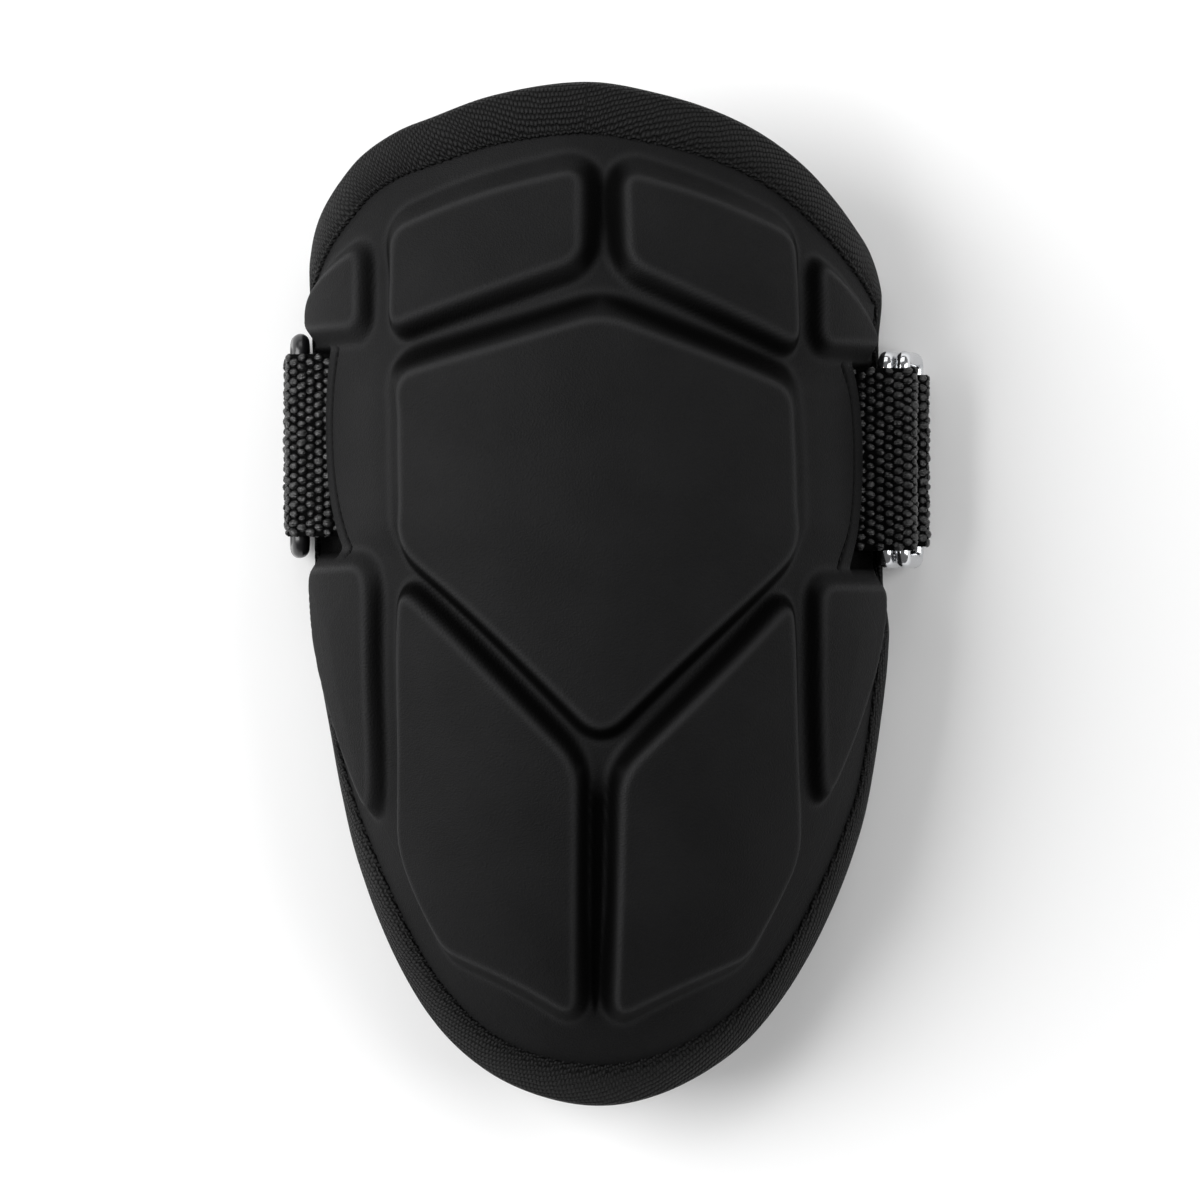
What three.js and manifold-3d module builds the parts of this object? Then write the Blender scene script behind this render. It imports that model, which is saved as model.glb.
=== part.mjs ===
// A baseball elbow guard lying front up: a hollow moulded foam shell with raised panels, a woven tape
// round its rim, a webbing tab with metal rings at each side, and the strap that closes it behind the arm.
// Millimetres. X runs across the arm, Y along it with the wide end at +Y, Z up out of the front.
import * as THREE from 'three';
import { mergeVertices } from 'three/addons/utils/BufferGeometryUtils.js';
import Module from 'manifold-3d';

// Overall form of the outer skin in the trenches between the panels
const HALF_LENGTH = 105.3;
const HALF_WIDTH = 59;
const SKIN_HEIGHT = 60;

// Foam shell
const WALL = 8;
const EDGE_FOAM = 5;
const PANEL_RISE = 4.2;
const SIDE_PANEL_RISE = 3;
const PANEL_WALL_RUN = 3.1;
const PANEL_EDGE_ROUND = 2.2;
const PANEL_DOME = 0.5;
const PANEL_ROOT = 3;
const EDGE_ROUND = 1.8;

// Edge tape
const TAPE_THICKNESS = 1.2;
const TAPE_PROUD = 0.3;
const TAPE_OUTER_LEG = 12;
const TAPE_INNER_LEG = 10;
const TAPE_LEG_BEHIND_TAB = 4.6;

// Webbing, strap and rings
const WEBBING_WIDTH = 37.4;
const WEBBING_THICKNESS = 1.6;
const STRAP_WIDTH = 35.5;
const STRAP_THICKNESS = 1.3;
const STRAP_TAIL = 26;
const STEEL_WIRE = 3.2;
const STEEL_RING_LENGTH = 44.6;
const BLACK_WIRE = 3.6;
const BLACK_RING_LENGTH = 46.2;

// Strap zone at the sides: the rim rises over the strap and a recess takes the tab
const RIM_ABOVE_STRAP = 3.4;
const RIM_LIFT_RAMP = 11;
const TAPE_LEG_RAMP = 24;
const RECESS_DEPTH = 2.8;
const SLIT_DEPTH = 2.8;
const CLEARANCE = 0.3;
const TAPE_GAP = 0.5;
const TAPE_LEDGE = 1.1;

// Sections across the body from the narrow end (-1) to the wide end (+1).
// along: share of the half length. crest, leftDrop, rightDrop: shares of the skin height, for the height of
// the crest line and the fall from it over a quarter turn. left, right: shares of the half width.
const SECTIONS = [
  { along: -1.00, crest: 0.333, leftDrop: 0.783, rightDrop: 0.883, left: 0.678, right: 0.686 },
  { along: -0.84, crest: 0.558, leftDrop: 0.833, rightDrop: 0.950, left: 0.746, right: 0.763 },
  { along: -0.60, crest: 0.775, leftDrop: 0.840, rightDrop: 1.017, left: 0.839, right: 0.890 },
  { along: -0.32, crest: 0.930, leftDrop: 0.900, rightDrop: 1.080, left: 0.912, right: 0.973 },
  { along: -0.05, crest: 1.000, leftDrop: 0.935, rightDrop: 1.162, left: 0.986, right: 1.027 },
  { along: 0.30, crest: 1.000, leftDrop: 0.935, rightDrop: 1.162, left: 0.995, right: 1.010 },
  { along: 0.57, crest: 0.930, leftDrop: 0.870, rightDrop: 1.080, left: 1.003, right: 1.000 },
  { along: 0.81, crest: 0.808, leftDrop: 0.833, rightDrop: 0.967, left: 0.983, right: 0.915 },
  { along: 1.00, crest: 0.667, leftDrop: 0.783, rightDrop: 0.867, left: 0.881, right: 0.814 },
];

// Rim of the guard, from the top over the left side to the bottom and back over the right side.
// turn: degrees round the arm from the crest line, left is negative. along: share of the half length.
const RIM = [
  { turn: -3, along: 0.984 },
  { turn: -24, along: 0.961 },
  { turn: -38.7, along: 0.922 },
  { turn: -48.4, along: 0.897 },
  { turn: -58.7, along: 0.854 },
  { turn: -66.0, along: 0.809 },
  { turn: -73.4, along: 0.766 },
  { turn: -81.5, along: 0.718 },
  { turn: -89.5, along: 0.672 },
  { turn: -94, along: 0.590 },
  { turn: -94, along: 0.280 },
  { turn: -94, along: -0.030 },
  { turn: -93.5, along: -0.220 },
  { turn: -91.5, along: -0.330 },
  { turn: -84.0, along: -0.440 },
  { turn: -74.0, along: -0.559 },
  { turn: -68.3, along: -0.637 },
  { turn: -62.0, along: -0.722 },
  { turn: -54.5, along: -0.803 },
  { turn: -44.6, along: -0.876 },
  { turn: -30.0, along: -0.945 },
  { turn: -13.0, along: -0.987 },
  { turn: 2, along: -0.997 },
  { turn: 16, along: -0.979 },
  { turn: 31, along: -0.932 },
  { turn: 44.5, along: -0.866 },
  { turn: 54.0, along: -0.790 },
  { turn: 60.6, along: -0.710 },
  { turn: 66.5, along: -0.618 },
  { turn: 73.0, along: -0.520 },
  { turn: 79.0, along: -0.425 },
  { turn: 81.5, along: -0.330 },
  { turn: 81.4, along: -0.160 },
  { turn: 81.4, along: 0.280 },
  { turn: 82.3, along: 0.520 },
  { turn: 82.0, along: 0.605 },
  { turn: 75.5, along: 0.677 },
  { turn: 68.2, along: 0.724 },
  { turn: 61.0, along: 0.772 },
  { turn: 52.0, along: 0.830 },
  { turn: 41.0, along: 0.886 },
  { turn: 28.5, along: 0.930 },
  { turn: 14.0, along: 0.963 },
];

// Raised panels: the corners of each crest line. turn and along as for the rim. round: share of the half
// width by which the line is rounded off at the corner.
const PANELS = {
  upperLeft: [
    { turn: -3.5, along: 0.788, round: 0.07 },
    { turn: -22.0, along: 0.746, round: 0.30 },
    { turn: -42.4, along: 0.682, round: 0.07 },
    { turn: -42.7, along: 0.504, round: 0.07 },
    { turn: -22.3, along: 0.552, round: 0.30 },
    { turn: -3.5, along: 0.617, round: 0.07 },
  ],
  upperRight: [
    { turn: 5.0, along: 0.787, round: 0.07 },
    { turn: 21.0, along: 0.746, round: 0.30 },
    { turn: 40.0, along: 0.677, round: 0.07 },
    { turn: 39.3, along: 0.470, round: 0.07 },
    { turn: 24.0, along: 0.533, round: 0.30 },
    { turn: 5.1, along: 0.620, round: 0.07 },
  ],
  central: [
    { turn: 0.6, along: 0.547, round: 0.15 },
    { turn: -18.4, along: 0.492, round: 0.27 },
    { turn: -41.3, along: 0.434, round: 0.085 },
    { turn: -41.6, along: 0.260, round: 0.27 },
    { turn: -40.8, along: 0.092, round: 0.10 },
    { turn: -24.3, along: -0.027, round: 0.27 },
    { turn: 0.2, along: -0.268, round: 0.10 },
    { turn: 19.4, along: -0.077, round: 0.27 },
    { turn: 38.7, along: 0.087, round: 0.10 },
    { turn: 39.2, along: 0.250, round: 0.27 },
    { turn: 38.4, along: 0.412, round: 0.085 },
    { turn: 18.0, along: 0.484, round: 0.27 },
  ],
  lowerLeft: [
    { turn: -40.4, along: 0.016, round: 0.085 },
    { turn: -29.5, along: -0.068, round: 0.20 },
    { turn: -4.6, along: -0.316, round: 0.085 },
    { turn: -5.1, along: -0.568, round: 0.34 },
    { turn: -5.9, along: -0.788, round: 0.085 },
    { turn: -20.0, along: -0.728, round: 0.20 },
    { turn: -37.8, along: -0.671, round: 0.085 },
    { turn: -44.0, along: -0.580, round: 0.15 },
    { turn: -48.2, along: -0.480, round: 0.15 },
    { turn: -43.7, along: -0.233, round: 0.30 },
  ],
  lowerRight: [
    { turn: 36.8, along: -0.006, round: 0.085 },
    { turn: 27.0, along: -0.102, round: 0.20 },
    { turn: 4.0, along: -0.334, round: 0.085 },
    { turn: 3.8, along: -0.568, round: 0.34 },
    { turn: 3.5, along: -0.790, round: 0.085 },
    { turn: 18.0, along: -0.737, round: 0.20 },
    { turn: 34.0, along: -0.684, round: 0.085 },
    { turn: 40.0, along: -0.580, round: 0.15 },
    { turn: 44.3, along: -0.490, round: 0.135 },
    { turn: 39.4, along: -0.234, round: 0.30 },
  ],
  upperSideLeft: [
    { turn: -52.9, along: 0.664, round: 0.07 },
    { turn: -66.0, along: 0.618, round: 0.15 },
    { turn: -77.5, along: 0.572, round: 0.10 },
    { turn: -78.5, along: 0.511, round: 0.07 },
    { turn: -52.7, along: 0.511, round: 0.07 },
  ],
  upperSideRight: [
    { turn: 47.7, along: 0.636, round: 0.07 },
    { turn: 57.0, along: 0.580, round: 0.15 },
    { turn: 65.0, along: 0.522, round: 0.10 },
    { turn: 67.6, along: 0.482, round: 0.07 },
    { turn: 46.3, along: 0.480, round: 0.07 },
  ],
  lowerSideLeft: [
    { turn: -51.6, along: 0.057, round: 0.07 },
    { turn: -77.0, along: 0.052, round: 0.085 },
    { turn: -76.5, along: -0.120, round: 0.30 },
    { turn: -70.0, along: -0.280, round: 0.27 },
    { turn: -60.5, along: -0.415, round: 0.10 },
    { turn: -57.6, along: -0.390, round: 0.085 },
    { turn: -53.4, along: -0.198, round: 0.30 },
    { turn: -50.4, along: -0.020, round: 0.20 },
  ],
  lowerSideRight: [
    { turn: 45.2, along: 0.018, round: 0.07 },
    { turn: 69.2, along: 0.018, round: 0.085 },
    { turn: 67.0, along: -0.100, round: 0.24 },
    { turn: 60.0, along: -0.260, round: 0.27 },
    { turn: 53.0, along: -0.380, round: 0.10 },
    { turn: 50.2, along: -0.372, round: 0.07 },
    { turn: 46.4, along: -0.199, round: 0.27 },
    { turn: 45.0, along: -0.060, round: 0.20 },
  ],
};

// Edge of the cover over each recess, from the wide end down: the tab comes out under it
const COVER_EDGES = {
  left: [
    { turn: -68.0, along: 0.480 },
    { turn: -71.6, along: 0.400 },
    { turn: -72.5, along: 0.300 },
    { turn: -71.2, along: 0.215 },
    { turn: -66.6, along: 0.130 },
    { turn: -63.1, along: 0.092 },
  ],
  right: [
    { turn: 59.4, along: 0.452 },
    { turn: 62.6, along: 0.400 },
    { turn: 64.6, along: 0.310 },
    { turn: 63.6, along: 0.213 },
    { turn: 61.0, along: 0.120 },
    { turn: 56.5, along: 0.040 },
  ],
};

// One row for each side. out: the way it faces. tabY, strapY: middle of the tab and of the strap along the
// arm. lipTurn: degrees round the arm where the cover edge crosses the tab. barOut, barDrop: how far the
// innermost ring bar in the tab lies out of the cover edge and below it. lean: how much farther out the
// same ring's bar in the strap lies.
const SIDES = {
  left: {
    out: -1,
    tabY: 30.6,
    strapY: 31.2,
    lipTurn: -72.3,
    barOut: 5.4,
    barDrop: 7.0,
    lean: 1.0,
    rings: 1,
    wire: BLACK_WIRE,
    ringLength: BLACK_RING_LENGTH,
  },
  right: {
    out: 1,
    tabY: 27.7,
    strapY: 27.7,
    lipTurn: 64.4,
    barOut: 4.8,
    barDrop: 3.8,
    lean: 3.3,
    rings: 2,
    wire: STEEL_WIRE,
    ringLength: STEEL_RING_LENGTH,
  },
};

// Colours as the front shows them
const COLOURS = {
  cover: 0x202022,
  tape: 0x18181a,
  webbing: 0x141416,
  strap: 0x161618,
  blackMetal: 0x1c1c1e,
  steel: 0xc8cace,
};

// How finely the curved shapes are divided
const RIM_STATIONS = 80;
const OUTLINE_STEP = 7;
const WIRE_FACETS = 10;
const FOLD_FACETS = 20;
const RECESS_STATIONS = 12;
const SKIN_SHARES = [0.2, 0.42, 0.62, 0.8, 0.92, 1];
const LONGEST_ROUND = 0.48;
const SLOPE_STEP = 0.01;

const wasm = await Module();
wasm.setup();

// Smooth value at any station along the body, from one column of the sections
function sectionValue(column, along) {
  const last = SECTIONS.length - 1;
  const t = THREE.MathUtils.clamp(along, SECTIONS[0].along, SECTIONS[last].along);
  let k = 0;
  while (k < last - 1 && t > SECTIONS[k + 1].along) k += 1;
  const slopeAt = (i) => {
    const before = SECTIONS[Math.max(i - 1, 0)];
    const after = SECTIONS[Math.min(i + 1, last)];
    return (after[column] - before[column]) / (after.along - before.along);
  };
  const from = SECTIONS[k];
  const to = SECTIONS[k + 1];
  const span = to.along - from.along;
  const s = (t - from.along) / span;
  const s2 = s * s;
  const s3 = s2 * s;
  return (2 * s3 - 3 * s2 + 1) * from[column] + (s3 - 2 * s2 + s) * slopeAt(k) * span
    + (3 * s2 - 2 * s3) * to[column] + (s3 - s2) * slopeAt(k + 1) * span;
}

// The skin is laid out on a flat sheet: x is the way round the arm, y the way along it, both in mm
function sheetPoint(row) {
  return new THREE.Vector2(THREE.MathUtils.degToRad(row.turn) * HALF_WIDTH, row.along * HALF_LENGTH);
}

function skinPoint(x, y) {
  const along = y / HALF_LENGTH;
  const turn = x / HALF_WIDTH;
  const side = turn < 0 ? 'left' : 'right';
  const reach = sectionValue(side, along) * HALF_WIDTH;
  const drop = sectionValue(side + 'Drop', along) * SKIN_HEIGHT;
  const crest = sectionValue('crest', along) * SKIN_HEIGHT;
  return new THREE.Vector3(reach * Math.sin(turn), y, crest - drop * (1 - Math.cos(turn)));
}

function skinSlopes(x, y) {
  const h = SLOPE_STEP;
  const across = skinPoint(x + h, y).sub(skinPoint(x - h, y)).divideScalar(2 * h);
  const along = skinPoint(x, y + h).sub(skinPoint(x, y - h)).divideScalar(2 * h);
  return { across, along, normal: across.clone().cross(along).normalize() };
}

// Point over the skin, lifted along its normal
function lifted(point, lift) {
  return skinPoint(point.x, point.y).addScaledVector(skinSlopes(point.x, point.y).normal, lift);
}

// Closed body through a stack of loops with as many points each. The first and last may be single points,
// or the last joins the first.
function bodyFromLoops(loops, joinEnds = false) {
  const positions = [];
  const starts = loops.map((loop) => {
    const start = positions.length / 3;
    for (const p of loop) positions.push(p.x, p.y, p.z);
    return start;
  });
  const index = [];
  const bands = joinEnds ? loops.length : loops.length - 1;
  for (let i = 0; i < bands; i += 1) {
    const next = (i + 1) % loops.length;
    const count = Math.max(loops[i].length, loops[next].length);
    for (let j = 0; j < count; j += 1) {
      const k = (j + 1) % count;
      const a = starts[i] + (loops[i].length === 1 ? 0 : j);
      const d = starts[i] + (loops[i].length === 1 ? 0 : k);
      const b = starts[next] + (loops[next].length === 1 ? 0 : j);
      const c = starts[next] + (loops[next].length === 1 ? 0 : k);
      if (loops[next].length > 1) index.push(a, b, c);
      if (loops[i].length > 1) index.push(a, c, d);
    }
  }
  const geometry = new THREE.BufferGeometry();
  geometry.setAttribute('position', new THREE.Float32BufferAttribute(positions, 3));
  geometry.setIndex(index);
  return geometry;
}

function toSolid(geometry) {
  const bare = geometry.clone();
  bare.deleteAttribute('normal');
  bare.deleteAttribute('uv');
  const merged = mergeVertices(bare);
  return new wasm.Manifold(new wasm.Mesh({
    numProp: 3,
    vertProperties: new Float32Array(merged.attributes.position.array),
    triVerts: new Uint32Array(merged.index.array),
  }));
}

function toGeometry(solid) {
  const mesh = solid.getMesh();
  const geometry = new THREE.BufferGeometry();
  geometry.setAttribute('position', new THREE.BufferAttribute(new Float32Array(mesh.vertProperties), 3));
  geometry.setIndex(new THREE.BufferAttribute(new Uint32Array(mesh.triVerts), 1));
  return geometry;
}

// Flat closed outline with rounded corners, counter-clockwise, from corner rows on the sheet
function roundedOutline(rows) {
  const ordered = THREE.ShapeUtils.isClockWise(rows.map(sheetPoint)) ? [...rows].reverse() : rows;
  const corners = ordered.map(sheetPoint);
  const rounds = ordered.map((row) => row.round * HALF_WIDTH);
  // Where the rounding of corner i meets its side to corner j
  const cornerCut = (i, j) => {
    const run = corners[j].clone().sub(corners[i]);
    return run.setLength(Math.min(rounds[i], run.length() * LONGEST_ROUND)).add(corners[i]);
  };
  const points = [];
  corners.forEach((corner, i) => {
    const previous = (i + corners.length - 1) % corners.length;
    const next = (i + 1) % corners.length;
    const exit = cornerCut(i, next);
    const bend = new THREE.QuadraticBezierCurve(cornerCut(i, previous), corner, exit);
    points.push(...bend.getPoints(rounds[i] > OUTLINE_STEP ? 3 : 2));
    const end = cornerCut(next, i);
    const pieces = Math.round(exit.distanceTo(end) / OUTLINE_STEP);
    for (let s = 1; s < pieces; s += 1) points.push(exit.clone().lerp(end, s / pieces));
  });
  return points;
}

// The outline moved outward over the sheet
function outset(points, distance) {
  return points.map((point, i) => {
    const run = points[(i + 1) % points.length].clone().sub(points[(i + points.length - 1) % points.length]);
    return new THREE.Vector2(run.y, -run.x).normalize().multiplyScalar(distance).add(point);
  });
}

function towards(points, centre, share) {
  return points.map((point) => centre.clone().lerp(point, share));
}

function middleOf(points) {
  const sum = points.reduce((total, point) => total.add(point), new THREE.Vector2());
  return sum.divideScalar(points.length);
}

const loopOver = (points, lift) => points.map((point) => lifted(point, lift));

// A soft-edged panel standing on the skin, rooted in the foam under it
function raisedPanel(rows, rise) {
  const crest = roundedOutline(rows);
  const shoulder = outset(crest, -PANEL_EDGE_ROUND);
  const centre = middleOf(crest);
  return toSolid(bodyFromLoops([
    [lifted(centre, rise + PANEL_DOME)],
    loopOver(towards(shoulder, centre, 0.4), rise + PANEL_DOME * 0.8),
    loopOver(towards(shoulder, centre, 0.75), rise + PANEL_DOME * 0.4),
    loopOver(shoulder, rise),
    loopOver(crest, rise * 0.86),
    loopOver(outset(crest, PANEL_WALL_RUN * 1.3), -rise * 0.3),
    loopOver(crest, -PANEL_ROOT),
    loopOver(towards(crest, centre, 0.5), -PANEL_ROOT),
    [lifted(centre, -PANEL_ROOT)],
  ]));
}

// One beside the strap and the rings, falling to nothing over the ramp past them and the margin
function besideStrap(y, margin, ramp) {
  const from = Math.min(...Object.values(SIDES).map((side) => side.tabY - side.ringLength / 2)) - margin;
  const to = Math.max(...Object.values(SIDES).map((side) => side.strapY + STRAP_WIDTH / 2)) + margin;
  const { smoothstep } = THREE.MathUtils;
  return smoothstep(y, from - ramp, from) * (1 - smoothstep(y, to, to + ramp));
}

// Rim of the guard on the sheet, raised a little at both sides to clear the strap. At each station: point,
// step: the way on the sheet that goes 1 mm inward over the skin, leg: width of the tape's outer leg.
function rimStations() {
  const curve = new THREE.CatmullRomCurve3(
    RIM.map((row) => new THREE.Vector3(sheetPoint(row).x, sheetPoint(row).y, 0)),
    true,
    'centripetal',
  );
  const lift = 2 * STRAP_THICKNESS + CLEARANCE + RIM_ABOVE_STRAP;
  const points = curve.getSpacedPoints(RIM_STATIONS).slice(0, RIM_STATIONS).map((p) => {
    const atSide = THREE.MathUtils.smoothstep(Math.abs(p.x), HALF_WIDTH, HALF_WIDTH * 1.2);
    const raise = lift * besideStrap(p.y, 2, RIM_LIFT_RAMP) * atSide;
    return new THREE.Vector2(p.x - Math.sign(p.x) * raise, p.y);
  });
  return points.map((point, i) => {
    const before = points[(i + points.length - 1) % points.length];
    const after = points[(i + 1) % points.length];
    const along = skinPoint(after.x, after.y).sub(skinPoint(before.x, before.y)).normalize();
    const slopes = skinSlopes(point.x, point.y);
    const inward = slopes.normal.clone().cross(along).normalize();
    const aa = slopes.across.dot(slopes.across);
    const ab = slopes.across.dot(slopes.along);
    const bb = slopes.along.dot(slopes.along);
    const ra = slopes.across.dot(inward);
    const rb = slopes.along.dot(inward);
    const det = aa * bb - ab * ab;
    const step = new THREE.Vector2((bb * ra - ab * rb) / det, (aa * rb - ab * ra) / det);
    const atSide = THREE.MathUtils.smoothstep(Math.abs(point.x), HALF_WIDTH, HALF_WIDTH * 1.2);
    const behindTab = besideStrap(point.y, 0, TAPE_LEG_RAMP) * atSide;
    const leg = THREE.MathUtils.lerp(TAPE_OUTER_LEG, TAPE_LEG_BEHIND_TAB, behindTab);
    return { point, step, leg };
  });
}

const STATIONS = rimStations();

const insetSheet = (station, inset) => station.point.clone().addScaledVector(station.step, inset);

const insetPoint = (station, inset, lift) => lifted(insetSheet(station, inset), lift);

// Hollow foam shell without its panels: outer skin, stepped down under the tape, round the edge and back
function foamShell() {
  const seat = TAPE_PROUD - TAPE_THICKNESS - TAPE_GAP;
  const back = seat - EDGE_FOAM;
  const edge = TAPE_THICKNESS + TAPE_GAP;
  const skinEdge = STATIONS.map((s) => insetSheet(s, s.leg + TAPE_LEDGE));
  const liningEdge = STATIONS.map((s) => insetSheet(s, TAPE_INNER_LEG + CLEARANCE));
  const centre = new THREE.Vector2(0, 0);
  const band = (inset, lift) => STATIONS.map((s) => insetPoint(s, inset(s), lift));
  const loops = [[lifted(centre, 0)]];
  for (const share of SKIN_SHARES) loops.push(loopOver(towards(skinEdge, centre, share), 0));
  loops.push(
    band((s) => s.leg + TAPE_LEDGE * 0.8, seat),
    band((s) => (s.leg + edge + EDGE_ROUND) / 2, seat),
    band(() => edge + EDGE_ROUND * 0.9, seat),
    band(() => edge + EDGE_ROUND * 0.28, seat - EDGE_FOAM * 0.2),
    band(() => edge, seat - EDGE_FOAM * 0.5),
    band(() => edge + EDGE_ROUND * 0.28, seat - EDGE_FOAM * 0.8),
    band(() => edge + EDGE_ROUND * 0.9, back),
    band(() => (TAPE_INNER_LEG + edge) * 0.6, back),
    band(() => TAPE_INNER_LEG + CLEARANCE * 0.8, back),
  );
  for (const share of [...SKIN_SHARES].reverse()) {
    loops.push(loopOver(towards(liningEdge, centre, share), -WALL));
  }
  loops.push([lifted(centre, -WALL)]);
  return toSolid(bodyFromLoops(loops));
}

// Place of the tape's inner edge on the sheet, for a distance along the arm
function tapeEdgeAt(out, y) {
  const edge = STATIONS
    .filter((s) => Math.sign(s.point.x) === out)
    .map((s) => insetSheet(s, s.leg))
    .sort((a, b) => a.y - b.y);
  const k = Math.max(edge.findIndex((p) => p.y > y), 1);
  return edge[k - 1].clone().lerp(edge[k], (y - edge[k - 1].y) / (edge[k].y - edge[k - 1].y));
}

// Space cut from the shell at each side, from the cover edge to the tape
function tabRecess(side) {
  const cover = new THREE.SplineCurve(COVER_EDGES[side].map(sheetPoint)).getSpacedPoints(RECESS_STATIONS);
  const out = SIDES[side].out;
  const above = 2 * RECESS_DEPTH;
  const sections = cover.map((start) => {
    const end = tapeEdgeAt(out, start.y);
    const across = [0, 0.5, 1].map((share) => start.clone().lerp(end, share));
    const loop = [...loopOver(across, above), ...loopOver(across.reverse(), -RECESS_DEPTH)];
    return out > 0 ? loop : loop.reverse();
  });
  const cap = (loop) => [loop.reduce((sum, p) => sum.add(p), new THREE.Vector3()).divideScalar(loop.length)];
  return toSolid(bodyFromLoops([cap(sections[0]), ...sections, cap(sections.at(-1))]));
}

// Places in the plane across the arm where a tab's two layers pass under the cover edge
function tabLayers(side) {
  const row = SIDES[side];
  const lip = skinPoint(THREE.MathUtils.degToRad(row.lipTurn) * HALF_WIDTH, row.tabY);
  const high = lip.z - CLEARANCE - WEBBING_THICKNESS / 2;
  const low = high - WEBBING_THICKNESS - CLEARANCE;
  const inner = lip.x - row.out * (RECESS_DEPTH + SLIT_DEPTH - CLEARANCE);
  return { lip, high, low, inner };
}

function tabSlit(side) {
  const row = SIDES[side];
  const { lip, high, low, inner } = tabLayers(side);
  const bottom = low - WEBBING_THICKNESS / 2 - 3 * CLEARANCE;
  const top = high + WEBBING_THICKNESS / 2 + CLEARANCE;
  const end = inner - row.out * CLEARANCE;
  const box = new THREE.BoxGeometry(Math.abs(lip.x - end), WEBBING_WIDTH + 2 * CLEARANCE, top - bottom);
  box.translate((lip.x + end) / 2, row.tabY, (top + bottom) / 2);
  return toSolid(box);
}

function mouldedPad() {
  let pad = foamShell();
  for (const [name, rows] of Object.entries(PANELS)) {
    pad = pad.add(raisedPanel(rows, name.includes('Side') ? SIDE_PANEL_RISE : PANEL_RISE));
  }
  for (const side of Object.keys(SIDES)) {
    pad = pad.subtract(tabRecess(side)).subtract(tabSlit(side));
  }
  return toGeometry(pad);
}

// Tape folded round the rim: outer leg, round edge, inner leg
function edgeBinding() {
  const top = TAPE_PROUD;
  const under = TAPE_PROUD - TAPE_THICKNESS;
  const depth = EDGE_FOAM + 2 * TAPE_GAP;
  const backFace = under - depth;
  const backSkin = backFace - TAPE_THICKNESS;
  const flat = TAPE_THICKNESS + EDGE_ROUND;
  const bend = TAPE_THICKNESS + EDGE_ROUND * 0.3;
  const loops = STATIONS.map((s) => [
    insetPoint(s, s.leg, top),
    insetPoint(s, s.leg, under),
    insetPoint(s, (s.leg + flat) / 2, under),
    insetPoint(s, flat, under),
    insetPoint(s, bend, under - depth * 0.24),
    insetPoint(s, TAPE_THICKNESS, under - depth * 0.5),
    insetPoint(s, bend, backFace + depth * 0.24),
    insetPoint(s, flat, backFace),
    insetPoint(s, TAPE_INNER_LEG, backFace),
    insetPoint(s, TAPE_INNER_LEG, backSkin),
    insetPoint(s, flat * 0.87, backSkin),
    insetPoint(s, flat * 0.23, backSkin + depth * 0.22),
    insetPoint(s, 0, under - depth * 0.5),
    insetPoint(s, flat * 0.23, top - depth * 0.22),
    insetPoint(s, flat * 0.87, top),
    insetPoint(s, (s.leg + flat) / 2, top),
  ]);
  return bodyFromLoops(loops, true);
}

// The guard lies on its rim: the strap lies on the same floor
const binding = edgeBinding();
binding.computeBoundingBox();
const FLOOR = binding.boundingBox.min.z;

// Points of the tight band round some bars and two near points, from one near point to the other
function bandRound(bars, radius, start, end) {
  const points = [start, end];
  for (const bar of bars) {
    for (let i = 0; i < FOLD_FACETS; i += 1) {
      const angle = (i / FOLD_FACETS) * Math.PI * 2 - Math.PI / 2;
      points.push(new THREE.Vector2(bar.x + radius * Math.cos(angle), bar.y + radius * Math.sin(angle)));
    }
  }
  const sorted = [...points].sort((a, b) => a.x - b.x || a.y - b.y);
  const turn = (o, a, b) => (a.x - o.x) * (b.y - o.y) - (a.y - o.y) * (b.x - o.x);
  const chain = (list) => {
    const kept = [];
    for (const p of list) {
      while (kept.length > 1 && turn(kept.at(-2), kept.at(-1), p) <= 0) kept.pop();
      kept.push(p);
    }
    return kept.slice(0, -1);
  };
  const hull = [...chain(sorted), ...chain(sorted.reverse())];
  const first = hull.indexOf(start);
  const turned = [...hull.slice(first), ...hull.slice(0, first)];
  return turned[1] === end ? [turned[0], ...turned.slice(1).reverse()] : turned;
}

// Band of cloth along a line in the plane across the arm, as wide along the arm as given
function clothBand(line, thickness, width, middleY) {
  const sideways = line.map((point, i) => {
    const before = line[Math.max(i - 1, 0)];
    const after = line[Math.min(i + 1, line.length - 1)];
    const into = point.clone().sub(before).normalize();
    const outOf = after.clone().sub(point).normalize();
    const run = into.add(outOf).normalize();
    const bend = Math.max(run.dot(i > 0 ? point.clone().sub(before).normalize() : outOf), 0.5);
    return new THREE.Vector2(-run.y, run.x).multiplyScalar(thickness / 2 / bend);
  });
  const edge = [
    ...line.map((point, i) => point.clone().add(sideways[i])),
    ...line.map((point, i) => point.clone().sub(sideways[i])).reverse(),
  ];
  const geometry = new THREE.ExtrudeGeometry(new THREE.Shape(edge), { depth: width, bevelEnabled: false });
  geometry.rotateX(Math.PI / 2);
  geometry.translate(0, middleY + width / 2, 0);
  return geometry;
}

// Bars of a side's rings in the plane across the arm, outermost ring first
function ringBars(side) {
  const row = SIDES[side];
  const { lip } = tabLayers(side);
  const rearZ = FLOOR + STRAP_THICKNESS + CLEARANCE + row.wire / 2;
  return Array.from({ length: row.rings }, (_, k) => {
    const out = row.barOut + (row.rings - 1 - k) * (row.wire + CLEARANCE);
    return {
      front: new THREE.Vector2(lip.x + row.out * out, lip.z - row.barDrop),
      rear: new THREE.Vector2(lip.x + row.out * (out + row.lean), rearZ),
    };
  });
}

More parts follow.
